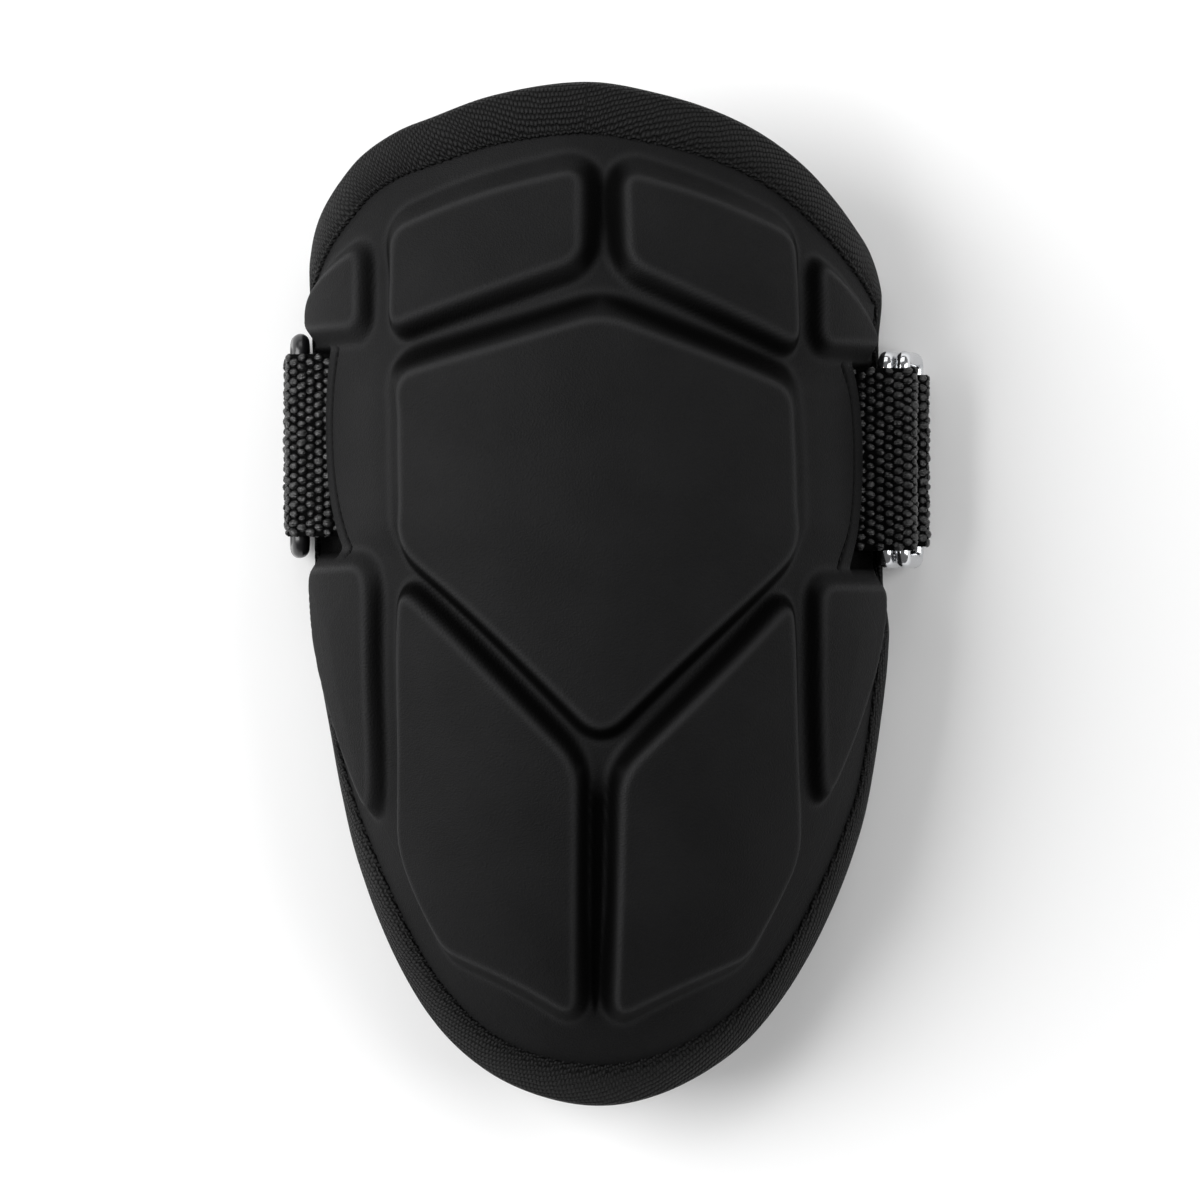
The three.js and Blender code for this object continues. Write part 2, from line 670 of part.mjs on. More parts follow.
// Webbing tab out of its slit, round the front bars and back
function webbingTab(side) {
  const row = SIDES[side];
  const { lip, high, low, inner } = tabLayers(side);
  const radius = row.wire / 2 + CLEARANCE + WEBBING_THICKNESS / 2;
  const frontBars = ringBars(side).map((bar) => bar.front);
  const upper = new THREE.Vector2(lip.x, high);
  const lower = new THREE.Vector2(lip.x - row.out, low);
  const line = [
    new THREE.Vector2(inner, high),
    ...bandRound(frontBars, radius, upper, lower),
    new THREE.Vector2(inner, low),
  ];
  return clothBand(line, WEBBING_THICKNESS, WEBBING_WIDTH, row.tabY);
}

// Strap flat behind the arm, folded round the rear bars at both ends and sewn back on itself
function closingStrap() {
  const onFloor = FLOOR + STRAP_THICKNESS / 2;
  const onStrap = onFloor + STRAP_THICKNESS + CLEARANCE;
  const rearBars = (side) => ringBars(side).map((bar) => bar.rear);
  const foldAt = (side) => {
    const row = SIDES[side];
    const radius = row.wire / 2 + CLEARANCE + STRAP_THICKNESS / 2;
    const near = rearBars(side).at(-1).x - row.out * (row.wire + CLEARANCE);
    const low = new THREE.Vector2(near, onFloor);
    const high = new THREE.Vector2(near, onStrap);
    const tail = new THREE.Vector2(near - row.out * STRAP_TAIL, onStrap);
    return [...bandRound(rearBars(side), radius, low, high), tail];
  };
  const line = [...foldAt('left').reverse(), ...foldAt('right')];
  const strap = clothBand(line, STRAP_THICKNESS, STRAP_WIDTH, 0);
  const leftEnd = rearBars('left')[0].x;
  const skew = (SIDES.right.strapY - SIDES.left.strapY) / (rearBars('right')[0].x - leftEnd);
  strap.applyMatrix4(new THREE.Matrix4().makeShear(skew, 0, 0, 0, 0, 0));
  strap.translate(0, SIDES.left.strapY - skew * leftEnd, 0);
  return strap;
}

// Rectangular ring of round wire with rounded corners, standing between its front and its rear bar
function wireRing(side, { front, rear }) {
  const { wire, ringLength, tabY } = SIDES[side];
  const reach = (ringLength - wire) / 2;
  const lean = front.clone().sub(rear);
  const height = lean.length();
  const up = lean.normalize();
  const corner = Math.min(reach - WEBBING_WIDTH / 2 - CLEARANCE / 3, height / 2);
  const path = new THREE.Path();
  path.moveTo(reach, corner);
  path.absarc(reach - corner, height - corner, corner, 0, Math.PI / 2);
  path.absarc(-reach + corner, height - corner, corner, Math.PI / 2, Math.PI);
  path.absarc(-reach + corner, corner, corner, Math.PI, Math.PI * 1.5);
  path.absarc(reach - corner, corner, corner, Math.PI * 1.5, Math.PI * 2);
  const line = path.getPoints(2);
  line.pop();
  const place = (p) => new THREE.Vector3(rear.x + up.x * p.y, tabY + p.x, rear.y + up.y * p.y);
  const flat = new THREE.Vector3(-up.y, 0, up.x);
  const loops = line.map((point, i) => {
    const before = line[(i + line.length - 1) % line.length];
    const after = line[(i + 1) % line.length];
    const run = after.clone().sub(before).normalize();
    const side = place(point.clone().add(new THREE.Vector2(-run.y, run.x))).sub(place(point));
    return Array.from({ length: WIRE_FACETS }, (_, k) => {
      const angle = (k / WIRE_FACETS) * Math.PI * 2;
      return place(point)
        .addScaledVector(side, Math.cos(angle) * wire / 2)
        .addScaledVector(flat, Math.sin(angle) * wire / 2);
    });
  });
  return bodyFromLoops(loops, true);
}

function clothMaterial(color, roughness) {
  return new THREE.MeshStandardMaterial({ color, roughness, metalness: 0 });
}

function metalMaterial(color, roughness) {
  return new THREE.MeshStandardMaterial({ color, roughness, metalness: 1 });
}

const guard = new THREE.Group();

function addPiece(name, geometry, material) {
  const mesh = new THREE.Mesh(geometry, material);
  mesh.name = name;
  guard.add(mesh);
}

const [leftBars] = ringBars('left');
const [outerBars, innerBars] = ringBars('right');
addPiece('moulded_pad', mouldedPad(), clothMaterial(COLOURS.cover, 0.85));
addPiece('edge_binding', binding, clothMaterial(COLOURS.tape, 0.8));
addPiece('left_tab', webbingTab('left'), clothMaterial(COLOURS.webbing, 0.75));
addPiece('right_tab', webbingTab('right'), clothMaterial(COLOURS.webbing, 0.75));
addPiece('left_ring', wireRing('left', leftBars), metalMaterial(COLOURS.blackMetal, 0.35));
addPiece('right_ring_outer', wireRing('right', outerBars), metalMaterial(COLOURS.steel, 0.22));
addPiece('right_ring_inner', wireRing('right', innerBars), metalMaterial(COLOURS.steel, 0.22));
addPiece('strap', closingStrap(), clothMaterial(COLOURS.strap, 0.8));

// The origin is under the middle of the guard, on the surface that it lies on
const extent = new THREE.Box3().setFromObject(guard);
const middle = extent.getCenter(new THREE.Vector3());
guard.position.set(-middle.x, -middle.y, -extent.min.z);

export default guard;
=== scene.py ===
# %% [markdown]
# A baseball elbow guard, seen straight from the front.
# It is a moulded foam half-pipe with a cloth face, nine raised panels and a wide woven tape round its rim.
# At each side a webbing tab folds round wire rings, and a strap behind the arm joins the two sides.
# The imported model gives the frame; this script dresses it with fine meshes and procedural finishes.

# %% Load the frame
import math

import bpy
import numpy as np
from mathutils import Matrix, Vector


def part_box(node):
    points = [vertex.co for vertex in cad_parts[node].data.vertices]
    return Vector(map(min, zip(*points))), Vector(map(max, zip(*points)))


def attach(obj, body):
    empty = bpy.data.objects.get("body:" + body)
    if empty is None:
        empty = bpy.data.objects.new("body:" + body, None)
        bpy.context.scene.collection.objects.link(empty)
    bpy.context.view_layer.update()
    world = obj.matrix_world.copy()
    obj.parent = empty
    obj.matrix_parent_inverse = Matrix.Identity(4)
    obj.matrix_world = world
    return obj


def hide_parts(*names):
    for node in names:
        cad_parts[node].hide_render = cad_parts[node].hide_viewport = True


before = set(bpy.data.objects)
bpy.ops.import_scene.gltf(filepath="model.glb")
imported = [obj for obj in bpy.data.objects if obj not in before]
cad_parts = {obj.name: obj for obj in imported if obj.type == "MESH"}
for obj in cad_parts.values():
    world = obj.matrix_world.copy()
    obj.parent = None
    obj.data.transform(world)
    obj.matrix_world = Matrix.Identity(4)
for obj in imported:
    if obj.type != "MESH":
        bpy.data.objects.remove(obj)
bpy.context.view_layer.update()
MM = 0.001

# %% [markdown]
# The foam body follows a rule, so its surface is a function, not a sculpt.
# A flat sheet is laid over the guard: x is the way round the arm and y the way along it, in millimetres.
# Nine sections say how high the crest line is, how far it falls and how wide it is at each side.

# %% Sizes and sections of the guard
HALF_LENGTH = 105.3
HALF_WIDTH = 59
SKIN_HEIGHT = 60
WALL = 8
PANEL_RISE = 4.2
SIDE_PANEL_RISE = 3
RECESS_DEPTH = 2.8
SLIT_DEPTH = 2.8
CLEARANCE = 0.3
EDGE_FOAM = 5
TAPE_OUTER_LEG = 12
TAPE_LEG_BEHIND_TAB = 4.6
WEBBING_WIDTH = 37.4
WEBBING_THICKNESS = 1.6
STRAP_WIDTH = 35.5
STRAP_THICKNESS = 1.3
STRAP_TAIL = 26
RIM_LIFT = 6.3
RIM_LIFT_RAMP = 11
TAPE_LEG_RAMP = 24

# Columns: along the arm, crest height, fall on the left, fall on the right, half width left, half width right
SECTION_COLUMNS = ("along", "crest", "left_drop", "right_drop", "left", "right")
SECTIONS = np.array([
    (-1.00, 0.333, 0.783, 0.883, 0.678, 0.686),
    (-0.84, 0.558, 0.833, 0.950, 0.746, 0.763),
    (-0.60, 0.775, 0.840, 1.017, 0.839, 0.890),
    (-0.32, 0.930, 0.900, 1.080, 0.912, 0.973),
    (-0.05, 1.000, 0.935, 1.162, 0.986, 1.027),
    (0.30, 1.000, 0.935, 1.162, 0.995, 1.010),
    (0.57, 0.930, 0.870, 1.080, 1.003, 1.000),
    (0.81, 0.808, 0.833, 0.967, 0.983, 0.915),
    (1.00, 0.667, 0.783, 0.867, 0.881, 0.814),
])


def section_value(column, along):
    """Smooth value of one column of the sections at any station along the arm."""
    stations = SECTIONS[:, 0]
    values = SECTIONS[:, SECTION_COLUMNS.index(column)]
    slopes = np.empty(len(stations))
    slopes[1:-1] = (values[2:] - values[:-2]) / (stations[2:] - stations[:-2])
    slopes[0] = (values[1] - values[0]) / (stations[1] - stations[0])
    slopes[-1] = (values[-1] - values[-2]) / (stations[-1] - stations[-2])
    t = np.clip(along, stations[0], stations[-1])
    k = np.clip(np.searchsorted(stations, t) - 1, 0, len(stations) - 2)
    span = stations[k + 1] - stations[k]
    s = (t - stations[k]) / span
    rise = 3 * s**2 - 2 * s**3
    beyond = np.where(along > t, slopes[-1], slopes[0]) * (along - t)
    return beyond + (
        (1 - rise) * values[k]
        + rise * values[k + 1]
        + (s**3 - 2 * s**2 + s) * slopes[k] * span
        + (s**3 - s**2) * slopes[k + 1] * span
    )


def skin_point(x, y):
    """Place of a sheet point on the skin in the trenches between the panels."""
    along = y / HALF_LENGTH
    turn = x / HALF_WIDTH
    left = turn < 0
    reach = np.where(left, section_value("left", along), section_value("right", along)) * HALF_WIDTH
    drop = np.where(left, section_value("left_drop", along), section_value("right_drop", along))
    height = section_value("crest", along) - drop * (1 - np.cos(turn))
    return np.stack([reach * np.sin(turn), y + 0 * x, height * SKIN_HEIGHT], axis=-1)


def unit(vectors):
    """The same directions with the length one."""
    return vectors / np.linalg.norm(vectors, axis=-1, keepdims=True)


def skin_slopes(x, y, step=0.01):
    """Slopes of the skin along x and y, and its outward normal."""
    across = (skin_point(x + step, y) - skin_point(x - step, y)) / (2 * step)
    along = (skin_point(x, y + step) - skin_point(x, y - step)) / (2 * step)
    return across, along, unit(np.cross(across, along))


def lifted(x, y, lift):
    """Point over the skin, lifted along its normal."""
    return skin_point(x, y) + skin_slopes(x, y)[2] * np.asarray(lift)[..., None]


def smoothstep(low, high, value):
    """0 below low, 1 above high, and a soft ramp between them."""
    t = np.clip((value - low) / (high - low), 0, 1)
    return t * t * (3 - 2 * t)


def window(rising_from, rising_to, falling_from, falling_to, value):
    """One between two soft ramps and nothing outside them."""
    return smoothstep(rising_from, rising_to, value) * (1 - smoothstep(falling_from, falling_to, value))


def glow(distance, width, power=2):
    """One at the distance nought, falling off softly over the width at both sides."""
    return np.exp(-((distance / width) ** power))


print("crest height at the middle", float(skin_point(np.array(0.0), np.array(0.0))[2]), "mm")

# %% [markdown]
# The source's frame has its origin on the arm's axis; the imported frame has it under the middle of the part.
# The left tab shows the shift between the two: its box gives a place that the sizes give as well.

# %% Shift between the sheet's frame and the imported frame
LEFT = dict(out=-1, tab_y=30.6, strap_y=31.2, lip_turn=-72.3, bar_out=5.4, bar_drop=7.0, lean=1.0, rings=1,
            wire=3.6, ring_length=46.2)
RIGHT = dict(out=1, tab_y=27.7, strap_y=27.7, lip_turn=64.4, bar_out=4.8, bar_drop=3.8, lean=3.3, rings=2,
             wire=3.2, ring_length=44.6)


def tab_layers(side):
    """Where a tab's two layers pass under the cover edge, in the plane across the arm."""
    lip = skin_point(np.array(math.radians(side["lip_turn"]) * HALF_WIDTH), np.array(side["tab_y"]))
    high = lip[2] - CLEARANCE - WEBBING_THICKNESS / 2
    low = high - WEBBING_THICKNESS - CLEARANCE
    inner = lip[0] - side["out"] * (RECESS_DEPTH + SLIT_DEPTH - CLEARANCE)
    return lip, high, low, inner


tab_low, tab_high = (np.array(corner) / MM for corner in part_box("left_tab"))
_, left_layer, _, left_inner = tab_layers(LEFT)
SHIFT = np.array([
    tab_high[0] - left_inner,
    (tab_low[1] + tab_high[1]) / 2 - LEFT["tab_y"],
    tab_high[2] - left_layer - WEBBING_THICKNESS / 2,
])
FLOOR = -SHIFT[2]
print("shift in mm", SHIFT.round(3))


def to_metres(points):
    """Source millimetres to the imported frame's metres."""
    return (np.asarray(points, float) + SHIFT) * MM


# %% [markdown]
# The rim is a row of places on the sheet, joined by a smooth closed curve.
# At every station the script works out the step on the sheet that goes 1 mm inward over the skin.
# The tape and the cover's edge are then both measured from the rim in real millimetres.

# %% Rim of the guard
RIM = np.array([
    (-3, 0.984), (-24, 0.961), (-38.7, 0.922), (-48.4, 0.897), (-58.7, 0.854), (-66.0, 0.809),
    (-73.4, 0.766), (-81.5, 0.718), (-89.5, 0.672), (-94, 0.590), (-94, 0.280), (-94, -0.030),
    (-93.5, -0.220), (-91.5, -0.330), (-84.0, -0.440), (-74.0, -0.559), (-68.3, -0.637),
    (-62.0, -0.722), (-54.5, -0.803), (-44.6, -0.876), (-30.0, -0.945), (-13.0, -0.987), (2, -0.997),
    (16, -0.979), (31, -0.932), (44.5, -0.866), (54.0, -0.790), (60.6, -0.710), (66.5, -0.618),
    (73.0, -0.520), (79.0, -0.425), (81.5, -0.330), (81.4, -0.160), (81.4, 0.280), (82.3, 0.520),
    (82.0, 0.605), (75.5, 0.677), (68.2, 0.724), (61.0, 0.772), (52.0, 0.830), (41.0, 0.886),
    (28.5, 0.930), (14.0, 0.963),
])
RIM_STATIONS = 1240


def sheet_points(rows):
    """Rows of (degrees round the arm, share of the half length) as places on the sheet."""
    rows = np.asarray(rows, float)
    return np.stack([np.radians(rows[:, 0]) * HALF_WIDTH, rows[:, 1] * HALF_LENGTH], axis=1)


def closed_curve(points, count):
    """Evenly spaced points on a smooth closed curve through the given ones."""
    before, after = np.roll(points, 1, axis=0), np.roll(points, -1, axis=0)
    beyond = np.roll(points, -2, axis=0)
    gap = [np.sqrt(np.linalg.norm(b - a, axis=1))[:, None]
           for a, b in ((before, points), (points, after), (after, beyond))]
    start = ((points - before) / gap[0] - (after - before) / (gap[0] + gap[1]) + (after - points) / gap[1])
    end = ((after - points) / gap[1] - (beyond - points) / (gap[1] + gap[2]) + (beyond - after) / gap[2])
    fine = []
    for s in np.linspace(0, 1, 60, endpoint=False):
        rise = 3 * s**2 - 2 * s**3
        fine.append((1 - rise) * points + rise * after + (s**3 - 2 * s**2 + s) * start * gap[1]
                    + (s**3 - s**2) * end * gap[1])
    line = np.stack(fine, axis=1).reshape(-1, 2)
    line = np.vstack([line, line[:1]])
    length = np.concatenate([[0], np.cumsum(np.linalg.norm(np.diff(line, axis=0), axis=1))])
    even = np.linspace(0, length[-1], count, endpoint=False)
    return np.stack([np.interp(even, length, line[:, k]) for k in range(2)], axis=1)


def beside_strap(y, margin, ramp):
    """One beside the strap and the rings, falling to nothing over the ramp past them."""
    low = min(side["tab_y"] - side["ring_length"] / 2 for side in (LEFT, RIGHT)) - margin
    high = max(side["strap_y"] + STRAP_WIDTH / 2 for side in (LEFT, RIGHT)) + margin
    return window(low - ramp, low, high, high + ramp, y)


def at_side(x):
    """One at the flanks of the guard, nothing near its ends."""
    return smoothstep(HALF_WIDTH, HALF_WIDTH * 1.2, np.abs(x))


rim = closed_curve(sheet_points(RIM), RIM_STATIONS)
rim[:, 0] -= np.sign(rim[:, 0]) * RIM_LIFT * beside_strap(rim[:, 1], 2, RIM_LIFT_RAMP) * at_side(rim[:, 0])
ahead = unit(skin_point(*np.roll(rim, -1, axis=0).T) - skin_point(*np.roll(rim, 1, axis=0).T))
slope_x, slope_y, rim_normal = skin_slopes(*rim.T)
inward = unit(np.cross(rim_normal, ahead))


def dot(a, b):
    """Scalar product of two rows of vectors."""
    return (a * b).sum(axis=-1)


xx, xy, yy = dot(slope_x, slope_x), dot(slope_x, slope_y), dot(slope_y, slope_y)
x_in, y_in = dot(slope_x, inward), dot(slope_y, inward)
inward_step = np.stack([yy * x_in - xy * y_in, xx * y_in - xy * x_in], axis=1) / (xx * yy - xy**2)[:, None]
behind_tab = beside_strap(rim[:, 1], 0, TAPE_LEG_RAMP) * at_side(rim[:, 0])
leg = TAPE_OUTER_LEG + (TAPE_LEG_BEHIND_TAB - TAPE_OUTER_LEG) * behind_tab
rim_run = np.linalg.norm(skin_point(*np.roll(rim, -1, axis=0).T) - skin_point(*rim.T), axis=1)
print("rim length", round(float(rim_run.sum())), "mm")


def inset_rim(inset):
    """The rim moved inward over the skin, as places on the sheet."""
    return rim + inward_step * np.asarray(inset).reshape(-1, 1)


# %% [markdown]
# Each raised panel is an outline with rounded corners.
# Its height comes from the distance to that outline: a flat top, a rounded shoulder, a steep wall and a foot.
# Where two panels meet, the higher of the two wins, so the trench between them comes by itself.

# %% Outlines of the raised panels
# Rows: degrees round the arm, share of the half length, share of the half width that rounds the corner
PANELS = {
    "upper_left": [(-3.5, 0.799, 0.07), (-22.0, 0.758, 0.30), (-42.4, 0.690, 0.07), (-42.7, 0.504, 0.07),
                   (-22.3, 0.563, 0.30), (-3.5, 0.626, 0.07)],
    "upper_right": [(5.0, 0.793, 0.07), (21.0, 0.751, 0.30), (40.0, 0.679, 0.07), (39.3, 0.470, 0.07),
                    (24.0, 0.533, 0.30), (5.1, 0.620, 0.07)],
    "central": [(0.6, 0.524, 0.08), (-18.4, 0.468, 0.27), (-41.3, 0.414, 0.085), (-41.6, 0.260, 0.27),
                (-40.8, 0.092, 0.10), (-24.3, -0.027, 0.27), (0.2, -0.268, 0.10), (19.4, -0.077, 0.27),
                (38.7, 0.087, 0.10), (39.2, 0.250, 0.27), (38.4, 0.386, 0.085), (18.0, 0.457, 0.27)],
    "lower_left": [(-40.4, 0.016, 0.085), (-29.5, -0.068, 0.20), (-4.6, -0.316, 0.085), (-5.1, -0.568, 0.34),
                   (-5.9, -0.796, 0.085), (-20.0, -0.728, 0.20), (-37.8, -0.671, 0.05),
                   (-44.0, -0.580, 0.10), (-48.2, -0.480, 0.09), (-43.7, -0.233, 0.30)],
    "lower_right": [(36.8, -0.006, 0.085), (27.0, -0.102, 0.20), (4.0, -0.334, 0.085), (3.8, -0.568, 0.34),
                    (3.5, -0.798, 0.085), (18.0, -0.737, 0.20), (34.0, -0.684, 0.05), (40.0, -0.580, 0.10),
                    (44.3, -0.490, 0.09), (39.4, -0.234, 0.30)],
    "upper_side_left": [(-52.9, 0.664, 0.07), (-66.0, 0.618, 0.15), (-77.5, 0.572, 0.10),
                        (-78.5, 0.511, 0.07), (-52.7, 0.511, 0.07)],
    "upper_side_right": [(47.7, 0.636, 0.07), (57.0, 0.580, 0.15), (65.0, 0.522, 0.10), (67.6, 0.482, 0.07),
                         (46.3, 0.480, 0.07)],
    "lower_side_left": [(-51.6, 0.057, 0.07), (-77.0, 0.052, 0.085), (-76.5, -0.120, 0.30),
                        (-70.0, -0.280, 0.27), (-60.5, -0.415, 0.10), (-57.6, -0.390, 0.085),
                        (-53.4, -0.198, 0.30), (-50.4, -0.020, 0.20)],
    "lower_side_right": [(45.2, 0.018, 0.07), (69.2, 0.018, 0.085), (67.0, -0.100, 0.24),
                         (60.0, -0.260, 0.27), (53.0, -0.380, 0.10), (50.2, -0.372, 0.07),
                         (46.4, -0.199, 0.27), (45.0, -0.060, 0.20)],
}
LONGEST_ROUND = 0.48


def rounded_outline(rows):
    """Closed outline on the sheet with each corner rounded off."""
    corners = sheet_points([row[:2] for row in rows])
    rounds = [row[2] * HALF_WIDTH for row in rows]
    points = []
    for i, corner in enumerate(corners):
        cuts = []
        for other in (corners[i - 1], corners[(i + 1) % len(corners)]):
            run = other - corner
            length = np.linalg.norm(run)
            cuts.append(corner + run / length * min(rounds[i], length * LONGEST_ROUND))
        for s in np.linspace(0, 1, 9):
            points.append((1 - s) ** 2 * cuts[0] + 2 * s * (1 - s) * corner + s**2 * cuts[1])
    return np.array(points)


def distance_to_outline(x, y, outline):
    """Distance on the sheet to a closed outline, negative inside it."""
    shortest = np.full(x.shape, 1e9)
    inside = np.zeros(x.shape, bool)
    for a, b in zip(outline, np.roll(outline, -1, axis=0)):
        run = b - a
        length = run @ run
        if length < 1e-9:
            continue
        t = np.clip(((x - a[0]) * run[0] + (y - a[1]) * run[1]) / length, 0, 1)
        shortest = np.minimum(shortest, np.hypot(x - a[0] - t * run[0], y - a[1] - t * run[1]))
        crosses = (a[1] > y) != (b[1] > y)
        reach = a[0] + (y - a[1]) * run[0] / (run[1] if run[1] else 1e-9)
        inside ^= crosses & (x < reach)
    return np.where(inside, -shortest, shortest)


outlines = {name: rounded_outline(rows) for name, rows in PANELS.items()}
print("panels", len(outlines))

# %% Height of the panels over the skin
SHOULDER = 0.5
WALL_RUN = 3.4
FILLET = 0.6
DOME = 0.6
DOME_RUN = 22
# Pairs are where a soft change starts and ends, in millimetres along the arm or away from the crest line
END_WALL_EXTRA = 2.2
WIDE_END = (62, 76)
POINTED_END = (60, 76)
CENTRAL_WALL_EXTRA = 2.8
CENTRAL_TOP = (38, 46)
SOFT_SIDE = 0.3
SOFT_ACROSS = (12, 40)
STRAP_ZONE = (9.0, 20.0, 34.0, 46.0)
PATCH_RISE = 1.7
PATCH_ALONG = (7, 15, 39, 46)
PATCH_ACROSS = (34, 44, 46, 66)
# Painted shade is darkest where a trench is narrow; the trench between the two lower panels is painted dark
# right across
NARROW_TO_WIDE = (7.5, 12)
LEAST_SHADE = 0.2
LOWER_TRENCH_ALONG = (-42, -33)
LOWER_TRENCH_ACROSS = (12, 15)
LOWER_TRENCH_WIDTH = (5.5, 7)
LOWER_TRENCH_EDGE = (-0.5, 0.8)
SHADE_BACK = 0.2
SHADE_SHARE = 0.42
# The painted highlight along the crest spans this width, and the painted highlight at the foot of a wall is
# half as bright
SHOULDER_GLEAM_WIDTH = 0.7
FOOT_GLEAM_WIDTH = 0.8
FOOT_GLEAM = 0.5


def ramp_down(low, high, fillet, value):
    """One below low and nothing above high: a straight slope with a small fillet at both of its ends."""
    def soft(at):
        return np.where(np.abs(at) < fillet, (at + fillet) ** 2 / (4 * fillet), np.maximum(at, 0))

    return 1 - (soft(value - low) - soft(value - high)) / (high - low)


def panel_height(x, y):
    """Height of the moulded panels over the skin, a mask of painted highlight near the crest and foot lines,
    and a mask of painted shade on the walls and in the trenches.
    """
    height, painted_edge_highlight, painted_shade = np.zeros((3, *x.shape))
    from_crest = np.abs(x)
    beside = window(*STRAP_ZONE, y) * smoothstep(*SOFT_ACROSS, from_crest)
    end_wall = END_WALL_EXTRA * (smoothstep(*WIDE_END, y) + 0.5 * smoothstep(*POINTED_END, -y))
    distances = {name: distance_to_outline(x, y, outline) for name, outline in outlines.items()}
    nearest, second_nearest = np.sort(np.stack(list(distances.values())), axis=0)[:2]
    for name, distance in distances.items():
        rise, run, fullness, shade = PANEL_RISE, WALL_RUN + end_wall, 1, 1
        if "side" in name:
            rise, run = SIDE_PANEL_RISE, WALL_RUN
        if name == "central":
            run = WALL_RUN + CENTRAL_WALL_EXTRA * smoothstep(*CENTRAL_TOP, y)
            fullness, shade = 1 - SOFT_SIDE * beside, 1 - 0.8 * beside
        wall = rise * fullness * ramp_down(-SHOULDER, run, FILLET, distance)
        height = np.maximum(height, wall + DOME * smoothstep(0, DOME_RUN, -distance))
        # Painted highlight: a light band along the crest of each wall, and a fainter one along its foot
        gleam = glow(distance + SHOULDER, SHOULDER_GLEAM_WIDTH)
        gleam = np.maximum(gleam, FOOT_GLEAM * glow(distance - run, FOOT_GLEAM_WIDTH))
        painted_edge_highlight = np.maximum(painted_edge_highlight, gleam)
        # Painted shade on the walls, faded where the trench between two panels is wide
        painted_shade = np.maximum(painted_shade, shade * glow(distance - run / 2 + SHADE_BACK, run * SHADE_SHARE, 4))
    painted_shade = painted_shade * (1 - (1 - LEAST_SHADE) * smoothstep(*NARROW_TO_WIDE, second_nearest))
    lower_trench = smoothstep(*LOWER_TRENCH_EDGE, nearest)
    for ramp, at in ((LOWER_TRENCH_WIDTH, second_nearest), (LOWER_TRENCH_ACROSS, from_crest),
                     (LOWER_TRENCH_ALONG, y)):
        lower_trench = lower_trench * (1 - smoothstep(*ramp, at))
    patch = PATCH_RISE * window(*PATCH_ALONG, y) * window(*PATCH_ACROSS, from_crest)
    return np.maximum(height, patch), painted_edge_highlight, np.maximum(painted_shade, lower_trench)


# %% [markdown]
# The cover is one grid of rows across the guard. Columns follow the two cover edges over the tabs.
# So the cut edge of the cover, the sewn groove beside it and the bed under the tab all stay crisp.
# The back of the foam uses every second point, and the two are closed along the rim under the tape.

# %% Grid of the cover
ROWS = 321
MIDDLE_COLUMNS = 171
FLANK_COLUMNS = 21
RIM_TUCK = 3.0
TUCK_DEPTH = 1.6
COVER_EDGE_LEFT = [(-68.0, 0.480), (-71.6, 0.400), (-72.5, 0.300), (-71.2, 0.215), (-66.6, 0.130),
                   (-63.1, 0.092)]
COVER_EDGE_RIGHT = [(59.4, 0.452), (62.6, 0.400), (64.6, 0.310), (63.6, 0.213), (61.0, 0.120), (56.5, 0.040)]
RECESS_ENDS = {-1: (7.5, 50.5), 1: (4.5, 47.2)}
# Columns at the cover edge, outward from the flap: distance inward of the edge, share of the recess depth
EDGE_COLUMNS = [(0.25, 0.0), (0.06, 0.06), (0.0, 0.25), (0.02, 0.8), (-0.15, 1.0)]
FLAP_COLUMNS = [0.8, 1.8, 2.8, 3.4, 3.75, 4.0, 4.25, 4.5, 4.85, 5.4, 6.2]
SEAM_INSET = 4.1
SEAM_DEPTH = 0.75
SEAM_SHADE = 0.85
SEAM_HALF_WIDTH = 0.5
SQUEEZED_BELOW = 24
FLANK_OVERLAP = 0.2
ROW_MARGIN = 1.2


def edge_of_side(outline, y, out):
    """Where an outline on the sheet crosses the given rows, at one side."""
    side = outline[np.sign(outline[:, 0]) == out]
    side = side[np.argsort(side[:, 1])]
    return np.interp(y, side[:, 1], side[:, 0])


def cover_edge(y, limit, out):
    """Place of the cover edge on each row: its own line beside the tab, then the same distance to the rim."""
    line = sheet_points(COVER_EDGE_LEFT if out < 0 else COVER_EDGE_RIGHT)[::-1]
    curve_y = np.linspace(line[0, 1], line[-1, 1], 40)
    curve_x = np.polyval(np.polyfit(line[:, 1], line[:, 0], 3), curve_y)
    rim_there = edge_of_side(inset_rim(RIM_TUCK), curve_y, out)
    distance = np.interp(y, curve_y, np.abs(rim_there - curve_x))
    return limit - out * np.minimum(distance, 0.4 * np.abs(limit))


tucked = inset_rim(RIM_TUCK)
row_y = np.linspace(tucked[:, 1].min() + ROW_MARGIN, tucked[:, 1].max() - ROW_MARGIN, ROWS)
limits = {out: edge_of_side(tucked, row_y, out) for out in (-1, 1)}
edges = {out: cover_edge(row_y, limits[out], out) for out in (-1, 1)}


def flank_columns(out):
    """Columns of one side from the rim inward: the place on every row, the recess and the seam groove."""
    limit, edge = limits[out], edges[out]
    squeeze = np.minimum(1, np.abs(edge) / SQUEEZED_BELOW)
    run = edge + out * FLANK_OVERLAP * squeeze - limit
    bed = [(limit + run * s, 1.0, 0.0) for s in np.linspace(0, 1, FLANK_COLUMNS, endpoint=False)]
    cut = [(edge - out * inward_by * squeeze, share, 0.0) for inward_by, share in reversed(EDGE_COLUMNS)]
    flap = [(edge - out * inward_by * squeeze, 0.0, glow(inward_by - SEAM_INSET, SEAM_HALF_WIDTH))
            for inward_by in FLAP_COLUMNS]
    return bed + cut + flap


